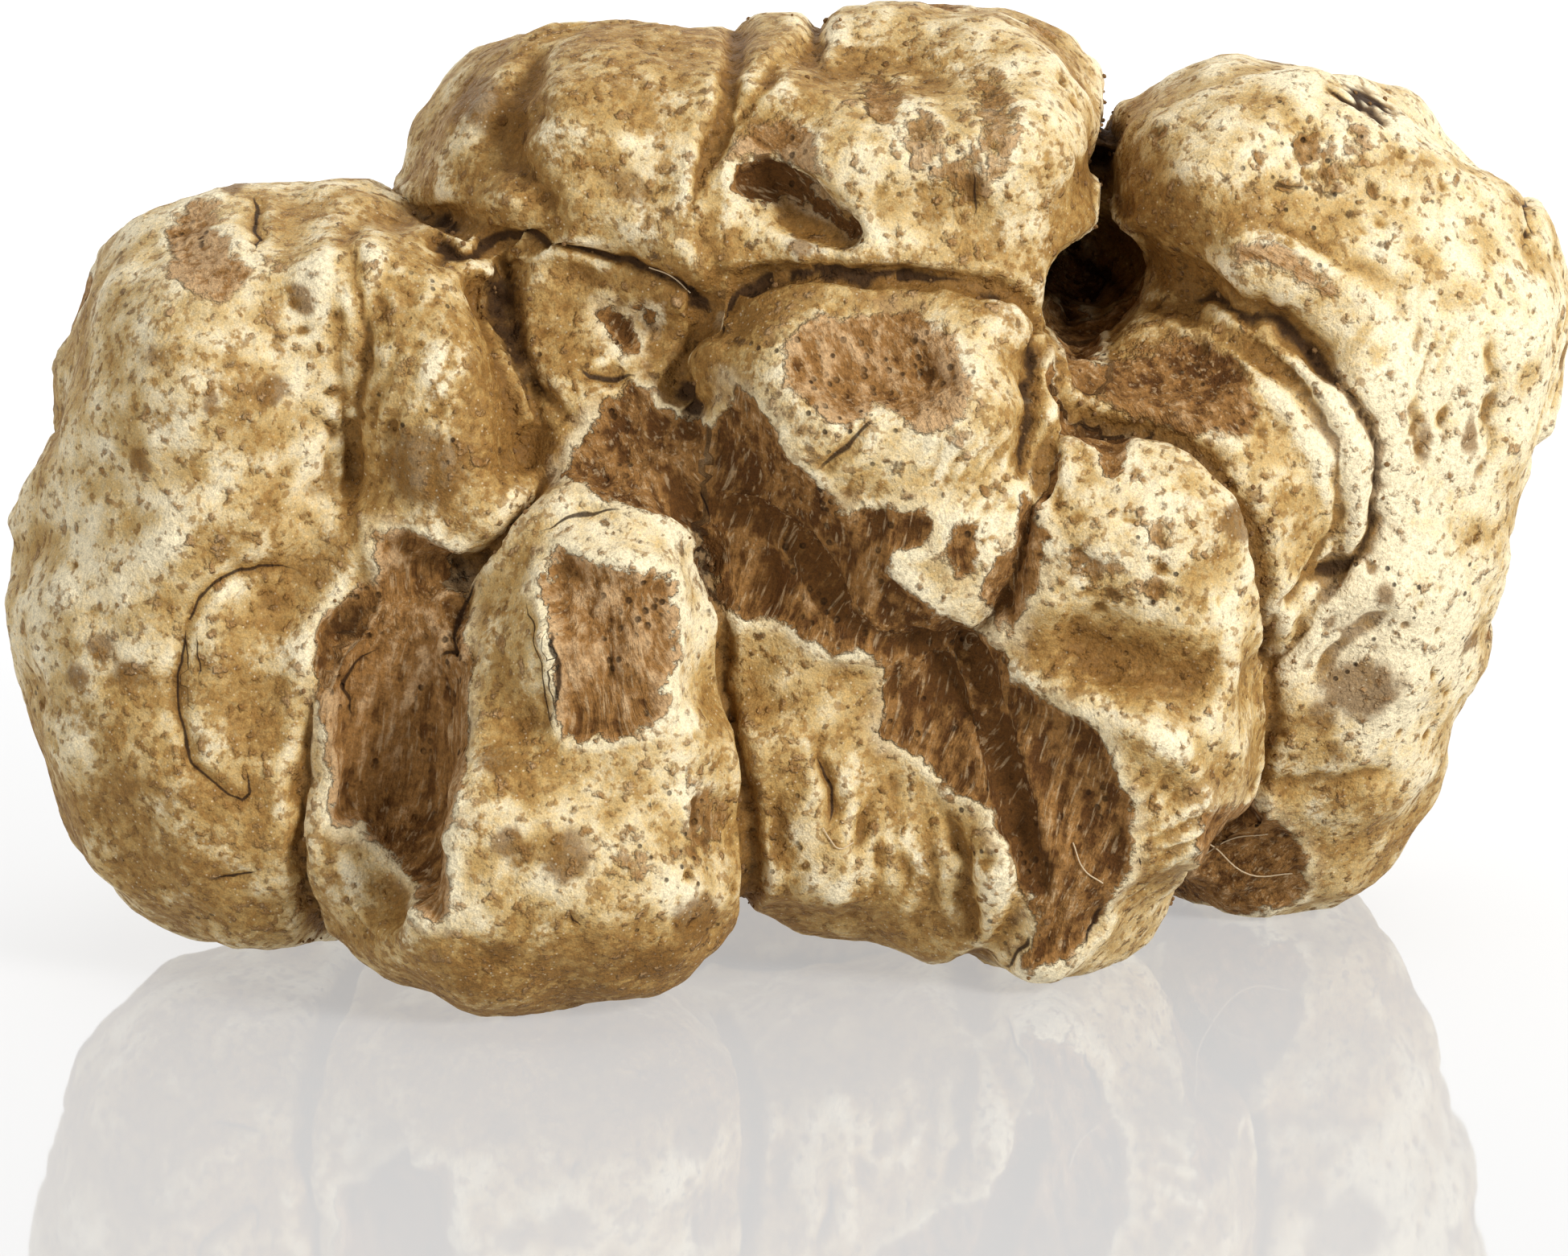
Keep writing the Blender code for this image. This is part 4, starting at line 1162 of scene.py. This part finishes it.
rootlets = {
    "thickness": 0.05,  # mm
    "colour": (0.62, 0.48, 0.30),
    # side and the points a thread passes over, in the same flat layout as the marks
    "threads": [
        ("front", [(28.5, 9), (30.5, 6.5), (33, 4.2), (36, 4.4)]),
        ("front", [(29.5, 5.5), (31.5, 7.2), (34, 7.8)]),
        ("front", [(2.6, 12.4), (3.1, 11.6), (3.7, 11), (4.6, 11.3)]),
        ("front", [(19.5, 11.5), (20.3, 9.6), (21.6, 8.6)]),
        ("front", [(-9, 49.6), (-7.5, 49.2), (-6.4, 48)]),
        ("back", [(-8, 30), (-6, 28.5), (-3.5, 28.8), (-1.5, 27.6)]),
        ("back", [(14, 30), (15.5, 28), (15.2, 25.5)]),
    ],
}


def plainMaterial(name, colour, roughness):
    material = bpy.data.materials.new(name)
    material.use_nodes = True
    shader = material.node_tree.nodes["Principled BSDF"]
    shader.inputs["Base Color"].default_value = (*colour, 1)
    shader.inputs["Roughness"].default_value = roughness
    return material


def addPiece(name, mesh, material):
    piece = bpy.data.objects.new(name, mesh)
    bpy.context.scene.collection.objects.link(piece)
    mesh.materials.append(material)
    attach(piece, "root")
    return piece


def scatterCrumbs():
    # grains of soil caught in the seams, where the seam soil and painted shade is strongest
    source = truffle.data
    points = meshPoints(source)
    normals = meshNormals(source)
    soil = np.empty(len(points), np.float32)
    source.attributes["seam_soil_and_shade"].data.foreach_get("value", soil)
    chance = np.random.default_rng(crumbs["seed"])
    soiledAndShaded = np.nonzero((soil > crumbs["leastSoilAndShade"]) & (points[:, 2] > 0.001))[0]
    picked = chance.choice(soiledAndShaded, crumbs["count"], replace=False)
    bm = bmesh.new()
    for index in picked:
        radius = chance.uniform(*crumbs["radius"]) * layout["mm"]
        turn = Matrix.Rotation(chance.uniform(0, math.tau), 4, Vector(chance.normal(size=3)).normalized())
        shape = Matrix.Diagonal((*(radius * chance.uniform(0.6, 1.1, 3)), 1))
        place = Matrix.Translation(points[index] + 0.3 * radius * normals[index])
        bmesh.ops.create_icosphere(bm, subdivisions=1, radius=1, matrix=place @ turn @ shape)
    mesh = bpy.data.meshes.new("truffle_crumbs")
    bm.to_mesh(mesh)
    bm.free()
    addPiece("truffle_crumbs", mesh, plainMaterial("soil_crumbs", crumbs["colour"], 0.9))


def layRootlets():
    tree = BVHTree.FromObject(truffle, bpy.context.evaluated_depsgraph_get())
    curve = bpy.data.curves.new("rootlets", "CURVE")
    curve.dimensions = "3D"
    curve.bevel_depth = rootlets["thickness"] * layout["mm"]
    curve.bevel_resolution = 1
    curve.resolution_u = 6
    for side, flat in rootlets["threads"]:
        way = -1 if side == "front" else 1
        spline = curve.splines.new("BEZIER")
        spline.bezier_points.add(len(flat) - 1)
        for point, (across, up) in zip(spline.bezier_points, flat):
            start = Vector((across - layout["middleX"], way * 100, up)) * layout["mm"]
            spot, normal = tree.ray_cast(start, Vector((0, -way, 0)))[:2]
            point.co = spot + normal * 0.12 * layout["mm"]
            point.handle_left_type = point.handle_right_type = "AUTO"
    draft = bpy.data.objects.new("rootletDraft", curve)
    bpy.context.scene.collection.objects.link(draft)
    mesh = bpy.data.meshes.new_from_object(draft.evaluated_get(bpy.context.evaluated_depsgraph_get()))
    bpy.data.objects.remove(draft)
    mesh.name = "truffle_rootlets"
    mesh.materials.clear()
    addPiece("truffle_rootlets", mesh, plainMaterial("root_fibre", rootlets["colour"], 0.7))


scatterCrumbs()
layRootlets()
report("crumbs and rootlets")

studio = {
    "cameraAt": (-0.0005, -0.4118, 0.1160),
    "cameraWay": (0, 0.97437, -0.22495),
    "lens": 136.54,
    "sensor": 36,
    "floorSize": 3.0,
    "floorColour": (0.25, 0.25, 0.25),
    "floorGlow": 0.42,
    # name, where it stands, its width, its power in watts, its colour
    "lamps": [
        ("key", (0.42, -0.34, 0.30), 0.2, 3.5, (1.0, 0.98, 0.95)),
        ("fill", (-0.5, -0.45, 0.25), 0.4, 1.4, (1.0, 0.98, 0.96)),
        ("overhead", (0, 0.1, 0.9), 0.7, 2.5, (1, 1, 1)),
    ],
    "worldStrength": 0.17,
    "worldBehind": 1.5,
}


def makeFloor():
    bm = bmesh.new()
    bmesh.ops.create_grid(bm, x_segments=1, y_segments=1, size=studio["floorSize"])
    mesh = bpy.data.meshes.new("floor")
    bm.to_mesh(mesh)
    bm.free()
    floor = bpy.data.objects.new("floor", mesh)
    bpy.context.scene.collection.objects.link(floor)
    material = bpy.data.materials.new("polished_white")
    material.use_nodes = True
    shader = material.node_tree.nodes["Principled BSDF"]
    shader.inputs["Base Color"].default_value = (*studio["floorColour"], 1)
    shader.inputs["Roughness"].default_value = 0.04
    shader.inputs["Emission Color"].default_value = (1, 1, 1, 1)
    shader.inputs["Emission Strength"].default_value = studio["floorGlow"]
    mesh.materials.append(material)


def makeLights():
    for name, place, width, power, colour in studio["lamps"]:
        data = bpy.data.lights.new(name, "AREA")
        data.size = width
        data.energy = power
        data.color = colour
        lamp = bpy.data.objects.new(name, data)
        lamp.location = place
        lamp.rotation_euler = (Vector((0, 0, 0.03)) - Vector(place)).to_track_quat("-Z", "Y").to_euler()
        bpy.context.scene.collection.objects.link(lamp)
    world = bpy.data.worlds.new("studio")
    world.use_nodes = True
    tree = world.node_tree
    background = tree.nodes["Background"]
    background.inputs["Color"].default_value = (1, 1, 1, 1)
    # the light wall behind is what the polished floor shows
    way = makeNode(tree, "ShaderNodeTexCoord").outputs["Generated"]
    behind = fade(tree, makeNode(tree, "ShaderNodeSeparateXYZ", {"Vector": way}).outputs["Y"], 0.3, 0.75)
    more = math2(tree, "MULTIPLY", behind, studio["worldBehind"] - studio["worldStrength"])
    tree.links.new(math2(tree, "ADD", more, studio["worldStrength"]), background.inputs["Strength"])
    bpy.context.scene.world = world


def makeCamera():
    data = bpy.data.cameras.new("camera")
    data.lens = studio["lens"]
    data.sensor_width = studio["sensor"]
    data.clip_start = 0.01
    camera = bpy.data.objects.new("camera", data)
    camera.location = studio["cameraAt"]
    camera.rotation_euler = Vector(studio["cameraWay"]).to_track_quat("-Z", "Y").to_euler()
    bpy.context.scene.collection.objects.link(camera)
    bpy.context.scene.camera = camera


makeFloor()
makeLights()
makeCamera()
bpy.context.scene.view_settings.view_transform = "Standard"

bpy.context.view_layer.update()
report("scene")
